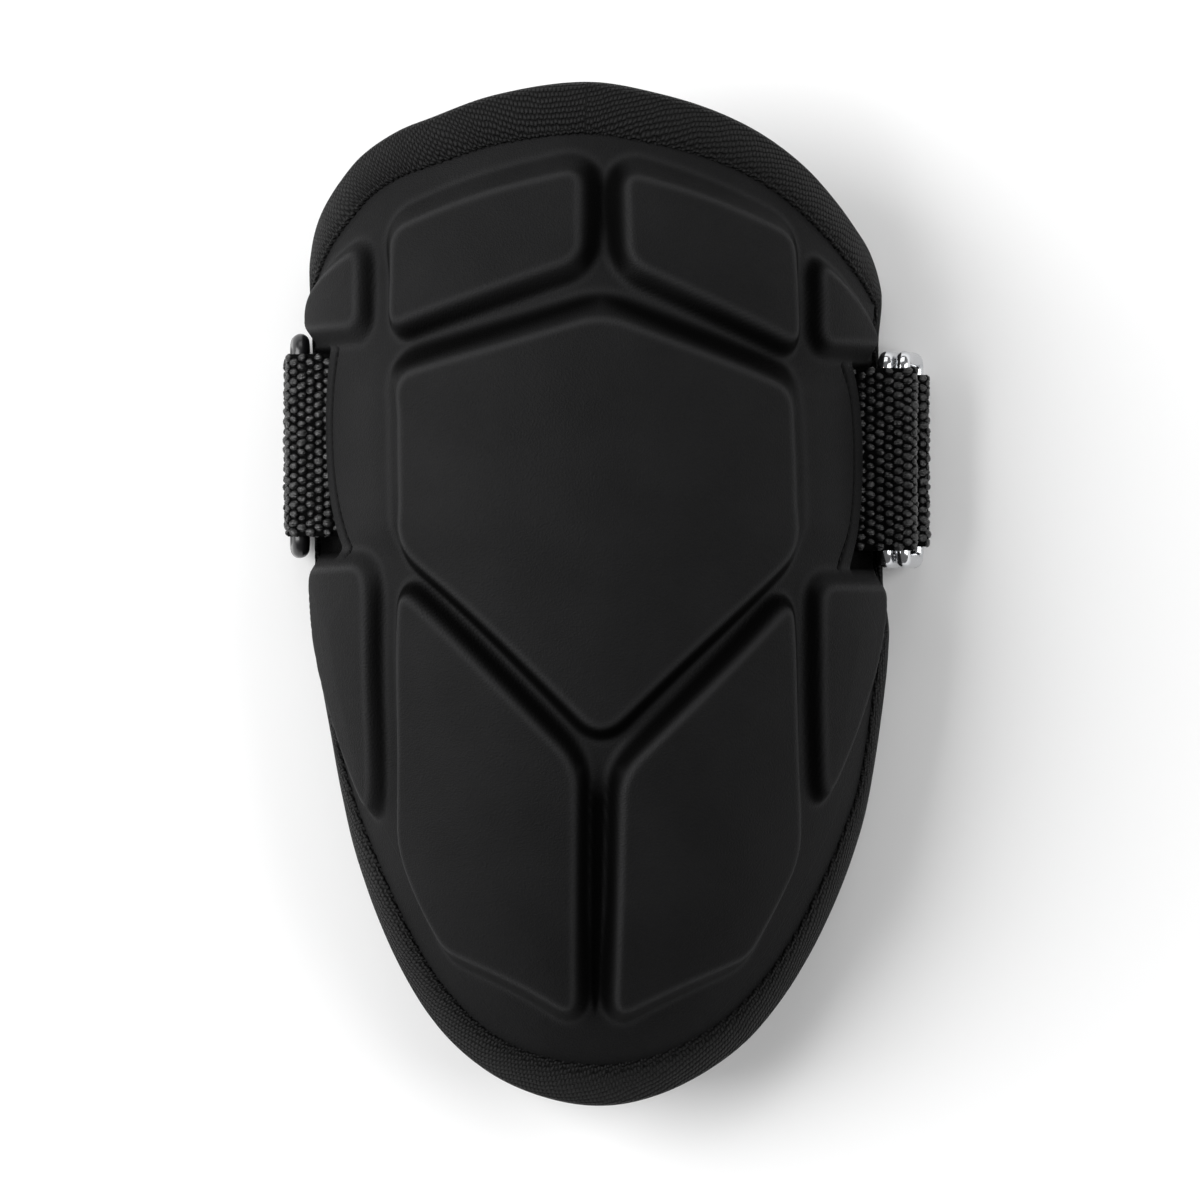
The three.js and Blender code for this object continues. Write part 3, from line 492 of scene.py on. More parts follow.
left_side, right_side = flank_columns(-1), flank_columns(1)
start, run = left_side[-1][0], right_side[-1][0] - left_side[-1][0]
middle = [(start + run * s, 0.0, 0.0) for s in np.linspace(0, 1, MIDDLE_COLUMNS)[1:-1]]
columns, share_row, seam_row = zip(*left_side, *middle, *reversed(right_side))
grid_x = np.stack(columns, axis=1)
grid_y = np.repeat(row_y[:, None], grid_x.shape[1], axis=1)
print("cover grid", grid_x.shape)

# %% Relief of the cover: panels, recess, seam groove and the tuck under the tape
RECESS_END_RUN = 0.8
PANEL_FADE = 4
RIM_SKIP = 4
TUCK_RAMP = (RIM_TUCK + 0.5, RIM_TUCK + 3.5)


def in_recess(y, out):
    """One on the rows where the cover is cut back for the tab."""
    low, high = RECESS_ENDS[out]
    return window(low, low + RECESS_END_RUN, high - RECESS_END_RUN, high, y)


beside_tab = np.where(grid_x < 0, in_recess(grid_y, -1), in_recess(grid_y, 1))
recess, seam_reach = beside_tab * share_row, beside_tab * seam_row
height, painted_edge_highlight, painted_shade = panel_height(grid_x, grid_y)
nearest_rim = np.full(grid_x.shape, 1e9)
for rim_x, rim_y in rim[::RIM_SKIP]:
    nearest_rim = np.minimum(nearest_rim, np.hypot(grid_x - rim_x, grid_y - rim_y))
tuck = 1 - smoothstep(*TUCK_RAMP, nearest_rim)
height = height * (1 - recess) - RECESS_DEPTH * recess - SEAM_DEPTH * seam_reach
height = height * smoothstep(TAPE_LEG_BEHIND_TAB, TAPE_LEG_BEHIND_TAB + PANEL_FADE, nearest_rim)
height = height - TUCK_DEPTH * tuck
front = lifted(grid_x, grid_y, height)
print("relief from", round(float(height.min()), 2), "to", round(float(height.max()), 2), "mm")

# %% Helpers that make meshes
def add_object(name, data):
    """An object with this mesh, light or camera, linked to the scene."""
    item = bpy.data.objects.new(name, data)
    bpy.context.scene.collection.objects.link(item)
    return item


def make_piece(name, points, faces, uv=None):
    """A smooth-shaded mesh object from source millimetres, with an optional UV for each point."""
    mesh = bpy.data.meshes.new(name)
    mesh.from_pydata(to_metres(points).tolist(), [], [tuple(map(int, face)) for face in faces])
    mesh.polygons.foreach_set("use_smooth", [True] * len(mesh.polygons))
    if uv is not None:
        layer = mesh.uv_layers.new(name="surface")
        loop_points = np.empty(len(mesh.loops), int)
        mesh.loops.foreach_get("vertex_index", loop_points)
        layer.data.foreach_set("uv", np.asarray(uv, float)[loop_points].ravel())
    mesh.validate()
    return add_object(name, mesh)


def grid_faces(rows, columns, start=0, close_rows=False, close_columns=False, flip=False):
    """Quads of a grid of points that are stored row by row."""
    r = np.arange(rows if close_rows else rows - 1)
    c = np.arange(columns if close_columns else columns - 1)
    r, c = np.meshgrid(r, c, indexing="ij")
    up, over = (r + 1) % rows, (c + 1) % columns
    quads = np.stack([r * columns + c, r * columns + over, up * columns + over, up * columns + c], axis=-1)
    quads = quads.reshape(-1, 4) + start
    return quads[:, ::-1] if flip else quads


def border(rows, columns, start=0):
    """Points round a grid, counter-clockwise."""
    bottom = list(range(columns - 1))
    right = [r * columns + columns - 1 for r in range(rows - 1)]
    top = [(rows - 1) * columns + c for c in range(columns - 1, 0, -1)]
    left = [r * columns for r in range(rows - 1, 0, -1)]
    return np.array(bottom + right + top + left) + start


def add_number(piece, name, values):
    """A number for each point of the piece, for its material to read."""
    attribute = piece.data.attributes.new(name, "FLOAT", "POINT")
    attribute.data.foreach_set("value", np.asarray(values, np.float32))


# %% Moulded cover and the foam behind it
FOAM_RAMP = (6, 14)
THIN_FOAM = EDGE_FOAM + 1.0
rows, cols = grid_x.shape
back_x, back_y = grid_x[::2, ::2], grid_y[::2, ::2]
back_rim = nearest_rim[::2, ::2]
back_depth = THIN_FOAM + (WALL - THIN_FOAM) * smoothstep(*FOAM_RAMP, back_rim)
back = lifted(back_x, back_y, -back_depth)
back_rows, back_cols = back_x.shape
front_count = rows * cols
faces = [*grid_faces(rows, cols), *grid_faces(back_rows, back_cols, front_count, flip=True)]
outer_loop = border(rows, cols)
inner_loop = border(back_rows, back_cols, front_count)
for k, inner in enumerate(inner_loop):
    following = inner_loop[(k + 1) % len(inner_loop)]
    a, b, c = (outer_loop[(2 * k + j) % len(outer_loop)] for j in range(3))
    faces += [(b, a, inner), (b, inner, following), (c, b, following)]
moulded_pad = make_piece("moulded_cover", np.vstack([front.reshape(-1, 3), back.reshape(-1, 3)]), faces)
back_zero = np.zeros(back_rows * back_cols)
# Masks for the cover's colour: painted highlight along crests and wall feet; painted shade on walls, in
# trenches, in the recess under each tab and in the seam groove
add_number(moulded_pad, "painted_edge_highlight", np.concatenate([(painted_edge_highlight * (1 - recess)).ravel(), back_zero]))
painted_shade = np.maximum(np.maximum(painted_shade * (1 - recess), recess), SEAM_SHADE * seam_reach)
add_number(moulded_pad, "painted_shade", np.concatenate([painted_shade.ravel(), back_zero]))
print("moulded cover triangles", sum(len(face) - 2 for face in faces))

# %% [markdown]
# The edge tape is a profile swept round the rim: a front leg, a round nose and a back leg.
# A row of stitches holds each leg. Every stitch pulls the tape down a little, so its edge is scalloped.
# The UV map counts millimetres along and across the tape, so the twill weave follows every bend.

# %% Edge tape
STITCH_PITCH = 1.8
TAPE_TOP = 0.75
TAPE_TOP_BEHIND_TAB = 0.3
TAPE_BACK = -8.35
NOSE_START = 2.8
STITCH_INSET = 1.2
STITCH_DIP = 0.28
SCALLOP = 0.16
TAPE_PUFF = 0.35
NOSE_PUFF = 1.1
BIAS_AT_WIDE_END = -1.35
BIAS_ALONG = (40, 90)
BIAS_ACROSS = 45
# Pairs of how far in from the tape's edge and how far down, round the rounded lip of the front leg
TAPE_LIP = [(1.6, 1.5), (0.25, 1.35), (0.0, 0.95), (0.02, 0.5), (0.16, 0.2), (0.4, 0.04)]
FRONT_LEG_SHARES = [0.0, 0.05, 0.1, 0.16, 0.24, 0.34, 0.46, 0.6, 0.74, 0.88, 1.0]
# Pairs of how far in from the rim and how far over the back of the tape, then those against the foam
BACK_LEG = [(NOSE_START, 0), (4.5, -0.15), (6.5, -0.1), (7.8, 0.05), (8.8, 0.3), (9.5, 0.05), (9.9, 0.15),
            (10.0, 0.5), (9.9, 1.1), (8.6, 1.3)]
AGAINST_FOAM = [(5.0, TAPE_BACK + 1.3), (2.2, TAPE_BACK + 2.2), (1.5, -3.8), (2.2, -1.6)]
run_along = np.concatenate([[0], np.cumsum(rim_run)[:-1]])
stitches_round = round(float(rim_run.sum()) / STITCH_PITCH)
stitch_phase = run_along / rim_run.sum() * stitches_round * 2 * math.pi
top = TAPE_TOP + (TAPE_TOP_BEHIND_TAB - TAPE_TOP) * behind_tab


def tape_profile():
    """Inset and lift of the tape's section at all stations, from the front edge round the nose and back."""
    scallop = SCALLOP * (np.cos(stitch_phase) + 0.5 * np.cos(stitch_phase * 2 + 0.8))
    edge = leg + scallop
    section = [(edge - back_by, top - drop) for back_by, drop in TAPE_LIP]
    # Front leg, pressed down by the stitches
    for share in FRONT_LEG_SHARES:
        inset = (edge - 0.75) + (NOSE_START - (edge - 0.75)) * share
        pull = STITCH_DIP * (0.65 + 0.35 * np.cos(stitch_phase)) * glow((leg - inset) - STITCH_INSET, 0.5)
        puff = TAPE_PUFF * math.sin(math.pi * min(share * 1.05, 1)) ** 0.8 * (1 - behind_tab)
        section.append((inset, top - pull + puff))
    # Nose round the rim
    middle_lift, half_depth = (top + TAPE_BACK) / 2, (top - TAPE_BACK) / 2
    for angle in np.linspace(0, math.pi, 13)[1:-1]:
        puff = NOSE_PUFF * math.sin(angle) * (1 - behind_tab)
        section.append((NOSE_START * (1 - math.sin(angle) ** 0.85) - puff,
                        middle_lift + half_depth * math.cos(angle)))
    for inset, drop in BACK_LEG:
        section.append((inset + (0.6 * scallop if inset > 9 else 0), TAPE_BACK + drop))
    section += [*AGAINST_FOAM, ((edge + NOSE_START) / 2, top - 1.3)]
    return np.array([np.broadcast_arrays(inset, lift, leg)[:2] for inset, lift in section])


profile = tape_profile()
insets, lifts = profile[:, 0], profile[:, 1]
tape_points = np.stack([lifted(*inset_rim(inset).T, lift) for inset, lift in zip(insets, lifts)], axis=1)
tape_points[:, :, 2] = np.maximum(tape_points[:, :, 2], FLOOR + 0.02)
across = np.concatenate([[0], np.cumsum(np.linalg.norm(np.diff(tape_points, axis=1), axis=2).mean(axis=0))])
profile_count = len(insets)
# At the wide end the tape lies on the bias, so there its rows run askew
bias = BIAS_AT_WIDE_END * smoothstep(*BIAS_ALONG, rim[:, 1]) * np.clip(-rim[:, 0] / BIAS_ACROSS, -0.1, 1)
askew = np.cumsum(bias * rim_run)
uv = np.stack([np.repeat(run_along, profile_count), (askew[:, None] + across[None, :]).ravel()], axis=1)
faces = grid_faces(RIM_STATIONS, profile_count, close_rows=True, close_columns=True)
edge_tape = make_piece("edge_tape", tape_points.reshape(-1, 3), faces, uv)
print("edge tape triangles", len(faces) * 2, "stitches", stitches_round)

# %% [markdown]
# Coarse webbing is a row of thick knuckles on a flat ribbon.
# The ribbon is swept along the line of the fold. Geometry Nodes then set one knuckle on every crossing.
# Every second column is moved by half a knuckle, as in the real plain weave.

# %% Line of a band round the ring bars
def ring_bars(side):
    """Front and rear bars of a side's rings in the plane across the arm, outermost ring first."""
    lip = tab_layers(side)[0]
    bars = []
    for k in range(side["rings"]):
        reach = side["bar_out"] + (side["rings"] - 1 - k) * (side["wire"] + CLEARANCE)
        bars.append((
            np.array([lip[0] + side["out"] * reach, lip[2] - side["bar_drop"]]),
            np.array([lip[0] + side["out"] * (reach + side["lean"]),
                      FLOOR + STRAP_THICKNESS + CLEARANCE + side["wire"] / 2]),
        ))
    return bars


def band_round(bars, radius, start, end):
    """The tight line round some bars, from one near point to the other."""
    angles = np.linspace(0, 2 * math.pi, 72, endpoint=False) - math.pi / 2
    points = [tuple(start), tuple(end)]
    for bar in bars:
        points += [(bar[0] + radius * math.cos(a), bar[1] + radius * math.sin(a)) for a in angles]

    def chain(ordered):
        kept = []
        for p in ordered:
            while len(kept) > 1 and ((kept[-1][0] - kept[-2][0]) * (p[1] - kept[-2][1])
                                     - (kept[-1][1] - kept[-2][1]) * (p[0] - kept[-2][0])) <= 0:
                kept.pop()
            kept.append(p)
        return kept[:-1]

    hull = chain(sorted(points)) + chain(sorted(points, reverse=True))
    first = hull.index(tuple(start))
    hull = hull[first:] + hull[:first]
    if hull[1] == tuple(end):
        hull = [hull[0], *reversed(hull[1:])]
    return [np.array(p) for p in hull]


def even_line(points, step):
    """The same line with points a step apart, its bends a little softened."""
    points = np.array(points)
    length = np.concatenate([[0], np.cumsum(np.linalg.norm(np.diff(points, axis=0), axis=1))])
    count = max(int(round(length[-1] / step)), 2)
    even = np.linspace(0, length[-1], count + 1)
    line = np.stack([np.interp(even, length, points[:, k]) for k in range(2)], axis=1)
    for _ in range(2):
        line[1:-1] = (line[:-2] + 2 * line[1:-1] + line[2:]) / 4
    return line, even


def tab_line(side):
    """Centre line of a webbing tab: out of its slit, round the front bars and back."""
    lip, high, low, inner = tab_layers(side)
    radius = side["wire"] / 2 + CLEARANCE + WEBBING_THICKNESS / 2
    start, end = np.array([lip[0], high]), np.array([lip[0] - side["out"], low])
    loop = band_round([front for front, _ in ring_bars(side)], radius, start, end)
    return [np.array([inner, high]), *loop, np.array([inner, low])]


def strap_line():
    """Centre line of the strap: folded back on itself round the rear bars at both ends."""
    on_floor = FLOOR + STRAP_THICKNESS / 2
    on_strap = on_floor + STRAP_THICKNESS + CLEARANCE
    folds = []
    for side in (LEFT, RIGHT):
        rear = [bar for _, bar in ring_bars(side)]
        radius = side["wire"] / 2 + CLEARANCE + STRAP_THICKNESS / 2
        near = rear[-1][0] - side["out"] * (side["wire"] + CLEARANCE)
        tail = np.array([near - side["out"] * STRAP_TAIL, on_strap])
        loop = band_round(rear, radius, np.array([near, on_floor]), np.array([near, on_strap]))
        folds.append([*loop, tail])
    return folds[0][::-1] + folds[1]


# %% Ribbon swept along a line in the plane across the arm
def ribbon(name, line, thickness, width, middle_of, step):
    """A closed flat band of cloth. middle_of gives the middle of its width for each place across the arm."""
    centre, along = even_line(line, step)
    run = unit(np.gradient(centre, axis=0))
    side = np.stack([-run[:, 1], run[:, 0]], axis=1)
    half, edge = thickness / 2, width / 2
    section = [(-edge + 0.3, half), (-edge, 0.0), (-edge + 0.3, -half), (edge - 0.3, -half), (edge, 0.0),
               (edge - 0.3, half)]
    points, uv = [], []
    for place, outward, distance in zip(centre, side, along):
        middle_y = middle_of(place[0])
        for offset, lift in section:
            spot = place + outward * lift
            points.append((spot[0], middle_y + offset, spot[1]))
            uv.append((distance, offset))
    count, size = len(centre), len(section)
    faces = [*grid_faces(count, size, close_columns=True), tuple(range(size))[::-1],
             tuple(range((count - 1) * size, count * size))]
    return make_piece(name, points, faces, uv), centre, side


# %% Nodes in a few lines
def set_inputs(tree, node, inputs):
    """Each input named here takes a socket of another node or a plain value."""
    for label, value in inputs.items():
        if isinstance(value, bpy.types.NodeSocket):
            tree.links.new(value, node.inputs[label])
        else:
            node.inputs[label].default_value = value


def add_node(tree, kind, inputs, **settings):
    """A new node with its settings and its inputs."""
    node = tree.nodes.new(kind)
    for name, value in settings.items():
        setattr(node, name, value)
    set_inputs(tree, node, inputs)
    return node


def node_group(name, kind, inputs, outputs):
    """A node tree with named inputs and outputs; a row is a name, a kind of socket and maybe a value."""
    group = bpy.data.node_groups.new(name, kind)
    for way, rows in (("INPUT", inputs), ("OUTPUT", outputs)):
        for label, socket_kind, *value in rows:
            socket = group.interface.new_socket(label, in_out=way, socket_type="NodeSocket" + socket_kind)
            if value:
                socket.default_value = value[0]
    return group, group.nodes.new("NodeGroupInput").outputs, group.nodes.new("NodeGroupOutput")


# %% Geometry Nodes that set a knuckle on every crossing of the weave
def point_vector(tree, name):
    """The vector that a point carries under this name."""
    node = add_node(tree, "GeometryNodeInputNamedAttribute", {"Name": name}, data_type="FLOAT_VECTOR")
    return node.outputs["Attribute"]


def knuckle_tree():
    """A small ball on every point, turned to the point's face_out and face_along vectors."""
    tree, given, result = node_group("weave_knuckles", "GeometryNodeTree", [
        ("Geometry", "Geometry"), ("Size", "Vector"), ("Unevenness", "Float"), ("Tilt", "Float"),
        ("Seed", "Int"), ("Material", "Material")], [("Geometry", "Geometry")])
    ball = add_node(tree, "GeometryNodeMeshUVSphere", {"Segments": 8, "Rings": 4, "Radius": 0.5})
    to_out = add_node(tree, "FunctionNodeAlignRotationToVector", {
        "Vector": point_vector(tree, "face_out")}, axis="Z")
    to_along = add_node(tree, "FunctionNodeAlignRotationToVector", {
        "Rotation": to_out.outputs["Rotation"], "Vector": point_vector(tree, "face_along")},
        axis="X", pivot_axis="Z")
    spread = add_node(tree, "FunctionNodeRandomValue", {3: given["Unevenness"], "Seed": given["Seed"]})
    shrink = add_node(tree, "ShaderNodeMath", {0: 1.0, 1: spread.outputs[1]}, operation="SUBTRACT")
    sized = add_node(tree, "ShaderNodeVectorMath", {
        0: given["Size"], "Scale": shrink.outputs[0]}, operation="SCALE")
    jitter = add_node(tree, "FunctionNodeRandomValue", {
        0: (-1, -1, -1), "Seed": given["Seed"]}, data_type="FLOAT_VECTOR")
    angles = add_node(tree, "ShaderNodeVectorMath", {
        0: jitter.outputs[0], "Scale": given["Tilt"]}, operation="SCALE")
    turn = add_node(tree, "FunctionNodeEulerToRotation", {0: angles.outputs["Vector"]})
    turned = add_node(tree, "FunctionNodeRotateRotation", {
        "Rotation": to_along.outputs["Rotation"], "Rotate By": turn.outputs[0]}, rotation_space="LOCAL")
    place = add_node(tree, "GeometryNodeInstanceOnPoints", {
        "Points": given["Geometry"], "Instance": ball.outputs["Mesh"],
        "Rotation": turned.outputs["Rotation"], "Scale": sized.outputs["Vector"]})
    solid = add_node(tree, "GeometryNodeRealizeInstances", {"Geometry": place.outputs["Instances"]})
    smooth = add_node(tree, "GeometryNodeSetShadeSmooth", {"Geometry": solid.outputs["Geometry"]})
    finish = add_node(tree, "GeometryNodeSetMaterial", {
        "Geometry": smooth.outputs["Geometry"], "Material": given["Material"]})
    set_inputs(tree, result, {"Geometry": finish.outputs["Geometry"]})
    return tree


KNUCKLES = knuckle_tree()
print("knuckle tree", len(KNUCKLES.nodes), "nodes")


def apply_tree(points_object, tree, values):
    """Runs a Geometry Nodes tree on an object with the given inputs and returns the plain mesh object."""
    modifier = points_object.modifiers.new("nodes", "NODES")
    modifier.node_group = tree
    sockets = {item.name: item.identifier for item in tree.interface.items_tree if item.in_out == "INPUT"}
    for label, value in values.items():
        modifier[sockets[label]] = value
    graph = bpy.context.evaluated_depsgraph_get()
    mesh = bpy.data.meshes.new_from_object(points_object.evaluated_get(graph))
    name = points_object.name
    bpy.data.objects.remove(points_object)
    mesh.name = name
    return add_object(name, mesh)


def point_cloud(name, places, outward, along):
    """Loose points that carry the two directions the knuckle tree reads."""
    mesh = bpy.data.meshes.new(name)
    mesh.from_pydata(to_metres(places).tolist(), [], [])
    for label, vectors in (("face_out", outward), ("face_along", along)):
        attribute = mesh.attributes.new(label, "FLOAT_VECTOR", "POINT")
        attribute.data.foreach_set("vector", np.asarray(vectors, np.float32).ravel())
    return add_object(name, mesh)


def join(target, *others):
    """Joins meshes into the first one, which keeps its name and its first material."""
    with bpy.context.temp_override(active_object=target, selected_editable_objects=[target, *others]):
        bpy.ops.object.join()
    return target


# %% [markdown]
# Every finish is made of nodes. A shader group holds one effect, such as cloth grain or a twill weave,
# and each material places it with its own values. Groups put out heights and masks only.
# The hidden back of the foam is on the cover's own piece, and plain knit is its second material.

# %% Shader groups: cloth grain and twill weave
def maths(tree, operation, *values):
    """A math node on sockets or plain numbers; returns its output."""
    return add_node(tree, "ShaderNodeMath", dict(enumerate(values)), operation=operation).outputs[0]


def weighted_sum(tree, total, *terms):
    """A value plus each term, a socket times its weight."""
    for socket, weight in terms:
        total = maths(tree, "MULTIPLY_ADD", socket, weight, total)
    return total


def noise(tree, vector, scale, detail=2.0, roughness=0.5):
    """A noise texture on a vector; returns its factor."""
    return add_node(tree, "ShaderNodeTexNoise", {
        "Vector": vector, "Scale": scale, "Detail": detail, "Roughness": roughness}).outputs[0]


def cloth_grain_group():
    """Fine pebbled grain of a cloth laminate: a height and a slow mottling mask."""
    group, given, result = node_group("cloth_grain", "ShaderNodeTree", [
        ("Vector", "Vector"), ("Grain per metre", "Float", 2600.0)],
        [("Height", "Float"), ("Mottle", "Float")])
    cells = add_node(group, "ShaderNodeTexVoronoi", {
        "Vector": given["Vector"], "Scale": given["Grain per metre"]})
    fibre = noise(group, given["Vector"], 5200.0)
    set_inputs(group, result, {"Height": weighted_sum(group, cells.outputs["Distance"], (fibre, 0.7)),
                               "Mottle": noise(group, given["Vector"], 60.0, 3.0)})
    return group


def twill_group():
    """Twill weave on a UV in millimetres: slanted ridges cut into short floats."""
    group, given, result = node_group("twill_weave", "ShaderNodeTree", [
        ("UV", "Vector"), ("Ridge pitch", "Float", 1.25), ("Float length", "Float", 1.1),
        ("Slant", "Float", 0.3)], [("Height", "Float"), ("Gap", "Float")])

    def hump(at):
        """Half a sine wave over every whole step."""
        return maths(group, "SINE", maths(group, "MULTIPLY", maths(group, "FRACT", at), math.pi))

    place = add_node(group, "ShaderNodeSeparateXYZ", {"Vector": given["UV"]}).outputs
    wander = noise(group, given["UV"], 0.12)
    slanted = weighted_sum(group, -1.1, (place["Y"], 1.0), (wander, 2.2), (place["X"], given["Slant"]))
    ridge_at = maths(group, "DIVIDE", slanted, given["Ridge pitch"])
    float_at = maths(group, "DIVIDE", place["X"], given["Float length"])
    float_at = weighted_sum(group, float_at, (maths(group, "FLOOR", ridge_at), 0.5))
    height = maths(group, "MULTIPLY", maths(group, "POWER", hump(ridge_at), 0.6),
                   maths(group, "POWER", hump(float_at), 0.4))
    thread = noise(group, given["UV"], 9.0, 1.0)
    set_inputs(group, result, {"Height": weighted_sum(group, height, (thread, 0.25)),
                               "Gap": maths(group, "SUBTRACT", 1.0, height)})
    return group


CLOTH_GRAIN = cloth_grain_group()
TWILL = twill_group()
print("shader groups", CLOTH_GRAIN.name, TWILL.name)


# %% Materials in a few lines
def new_material(name, plain):
    """A material whose values that are the same all over sit on its shader's own sockets."""
    material = bpy.data.materials.new(name)
    material.use_nodes = True
    tree = material.node_tree
    shader = tree.nodes["Principled BSDF"]
    set_inputs(tree, shader, plain)
    return material, tree, shader


def object_place(tree):
    """The place on the piece in metres."""
    return add_node(tree, "ShaderNodeTexCoord", {}).outputs["Object"]


def colour_between(tree, factor, low, high, until=1.0):
    """A ramp between two colours that is all high from the factor until on."""
    ramp = add_node(tree, "ShaderNodeValToRGB", {"Fac": factor})
    first, last = ramp.color_ramp.elements
    first.color = (*low, 1)
    last.color = (*high, 1)
    last.position = until
    return ramp.outputs["Color"]


def bump(tree, height, strength, distance):
    """A normal that follows a height."""
    return add_node(tree, "ShaderNodeBump", {
        "Height": height, "Strength": strength, "Distance": distance}).outputs["Normal"]


def place_group(tree, group, inputs):
    """A shader group in a material, with the material's own values; returns its outputs."""
    node = add_node(tree, "ShaderNodeGroup", {}, node_tree=group)
    set_inputs(tree, node, inputs)
    return node.outputs


# %% Finishes of the cover and of its hidden back
# Near-black colour of the painted shade
PAINTED_SHADE_TONE = (0.0003, 0.0003, 0.0003, 1)


def cover_finish():
    """Matt black cloth laminate: painted highlight along the panel crests and wall feet, and painted shade
    that is dark and dull on the walls, in the trenches, the recesses and the seam grooves.
    """
    material, tree, shader = new_material("matt_black_cloth_laminate", {"Specular IOR Level": 0.04})
    grain = place_group(tree, CLOTH_GRAIN, {"Vector": object_place(tree), "Grain per metre": 2600.0})
    painted_highlight_in, painted_shade_in = (add_node(tree, "ShaderNodeAttribute", {}, attribute_name=name).outputs["Fac"]
                          for name in ("painted_edge_highlight", "painted_shade"))
    # Painted highlight: the cover is painted paler along the crests and the wall feet
    tone = weighted_sum(tree, 0.0, (grain["Mottle"], 0.5), (painted_highlight_in, 0.9))
    plain = colour_between(tree, tone, (0.0066, 0.0066, 0.0068), (0.0192, 0.0192, 0.0197))
    # Painted shade: walls, trenches, recesses and seam grooves are mixed to the near-black tone
    # A mix node keeps its colour sockets at these places
    mixed = add_node(tree, "ShaderNodeMix", {}, data_type="RGBA")
    set_inputs(tree, mixed, {0: painted_shade_in, 6: plain, 7: PAINTED_SHADE_TONE})
    rough = weighted_sum(tree, 0.52, (grain["Mottle"], 0.1), (painted_highlight_in, -0.06), (painted_shade_in, 0.25))
    set_inputs(tree, shader, {"Base Color": mixed.outputs[2], "Roughness": rough,
                              "Normal": bump(tree, grain["Height"], 0.6, 0.0002)})
    return material


def back_finish():
    """Brushed black knit on the hidden side of the foam."""
    material, tree, shader = new_material("brushed_black_knit", {
        "Roughness": 0.9, "Sheen Weight": 0.25, "Sheen Roughness": 0.5})
    grain = place_group(tree, CLOTH_GRAIN, {"Vector": object_place(tree), "Grain per metre": 1100.0})
    set_inputs(tree, shader, {
        "Base Color": colour_between(tree, grain["Mottle"], (0.012, 0.012, 0.013), (0.03, 0.03, 0.032)),
        "Normal": bump(tree, grain["Height"], 0.5, 0.0004)})
    return material


# %% Finishes of the tape, the webbing, the thread and the rings
def tape_finish():
    """Black twill tape, with painted shade in the gaps of the weave."""
    material, tree, shader = new_material("black_twill_tape", {"Roughness": 0.6, "Specular IOR Level": 0.12})
    uv = add_node(tree, "ShaderNodeUVMap", {}, uv_map="surface").outputs["UV"]
    weave = place_group(tree, TWILL, {"UV": uv, "Ridge pitch": 1.1, "Float length": 0.85, "Slant": 0.28})
    # Painted shade: the gaps between the floats of the weave go near black
    set_inputs(tree, shader, {
        "Base Color": colour_between(tree, weave["Gap"], (0.0155, 0.0155, 0.0158), (0.0002,) * 3, 0.6),
        "Normal": bump(tree, weave["Height"], 1.0, 0.0008)})
    return material


def noise_finish(name, plain, stretch, detail, low, high, relief, roughness=0.5):
    """Yarn, thread or wire: one stretched noise gives its tones and its relief."""
    material, tree, shader = new_material(name, plain)
    place = object_place(tree)
    place = add_node(tree, "ShaderNodeMapping", {"Vector": place, "Scale": stretch}).outputs["Vector"]
    grain = noise(tree, place, 1.0, detail, roughness)
    set_inputs(tree, shader, {"Base Color": colour_between(tree, grain, low, high),
                              "Normal": bump(tree, grain, *relief)})
    return material, tree, shader, grain


def metal_finish(name, low, high, metallic, roughness, coat):
    """Wire ring: plated or lacquered, with hairline wear."""
    material, tree, shader, wear = noise_finish(name, {"Metallic": metallic, "Coat Weight": coat},
                                                (700.0,) * 3, 4.0, low, high, (0.05, 0.0001), 0.6)
    set_inputs(tree, shader, {"Roughness": weighted_sum(tree, roughness - 0.05, (wear, 0.12))})
    return material


COVER = cover_finish()
KNIT = back_finish()
TAPE = tape_finish()
# Threads along every knuckle; a dull core deep between the knuckles, painted darker than the yarn as painted
# shade; sewing thread
YARN = noise_finish("black_webbing_yarn", {"Roughness": 0.3, "Specular IOR Level": 0.5},
                    (800.0, 3200.0, 800.0), 2.0, (0.0012, 0.0012, 0.0013), (0.0055, 0.0055, 0.0058),
                    (0.9, 0.0004))[0]
CORE_PAINTED_SHADE = noise_finish("webbing_core_painted_shade", {"Roughness": 0.95, "Specular IOR Level": 0.05}, (4000.0,) * 3,
                    1.0, (0.0004,) * 3, (0.002,) * 3, (0.3, 0.0001))[0]
THREAD = noise_finish("black_sewing_thread", {"Roughness": 0.8, "Specular IOR Level": 0.1}, (7000.0,) * 3,
                      1.0, (0.0005,) * 3, (0.003,) * 3, (0.3, 0.0001))[0]
BLACK_WIRE = metal_finish("gloss_black_wire", (0.003, 0.003, 0.0035), (0.010, 0.010, 0.011), 0.0, 0.32, 0.15)
STEEL_WIRE = metal_finish("bright_steel_wire", (0.62, 0.63, 0.65), (0.8, 0.81, 0.83), 1.0, 0.16, 0.0)
for piece, finishes in ((moulded_pad, (COVER, KNIT)), (edge_tape, (TAPE,))):
    for material in finishes:
        piece.data.materials.append(material)
first_back_face = (rows - 1) * (cols - 1)
back_faces = (back_rows - 1) * (back_cols - 1)
for face in moulded_pad.data.polygons[first_back_face:first_back_face + back_faces]:
    face.material_index = 1
print("materials", [material.name for material in bpy.data.materials])

# %% Webbing tabs and the strap
KNUCKLE_COLUMN = 1.95
RELIEF_SHARE = 0.42
# Every second column is moved by this share of a row, the others as much the other way
STAGGER = 0.25
# Length, width and height of a knuckle for each column, row and relief
KNUCKLE_SIZE = (1.5, 1.06, 2.2)


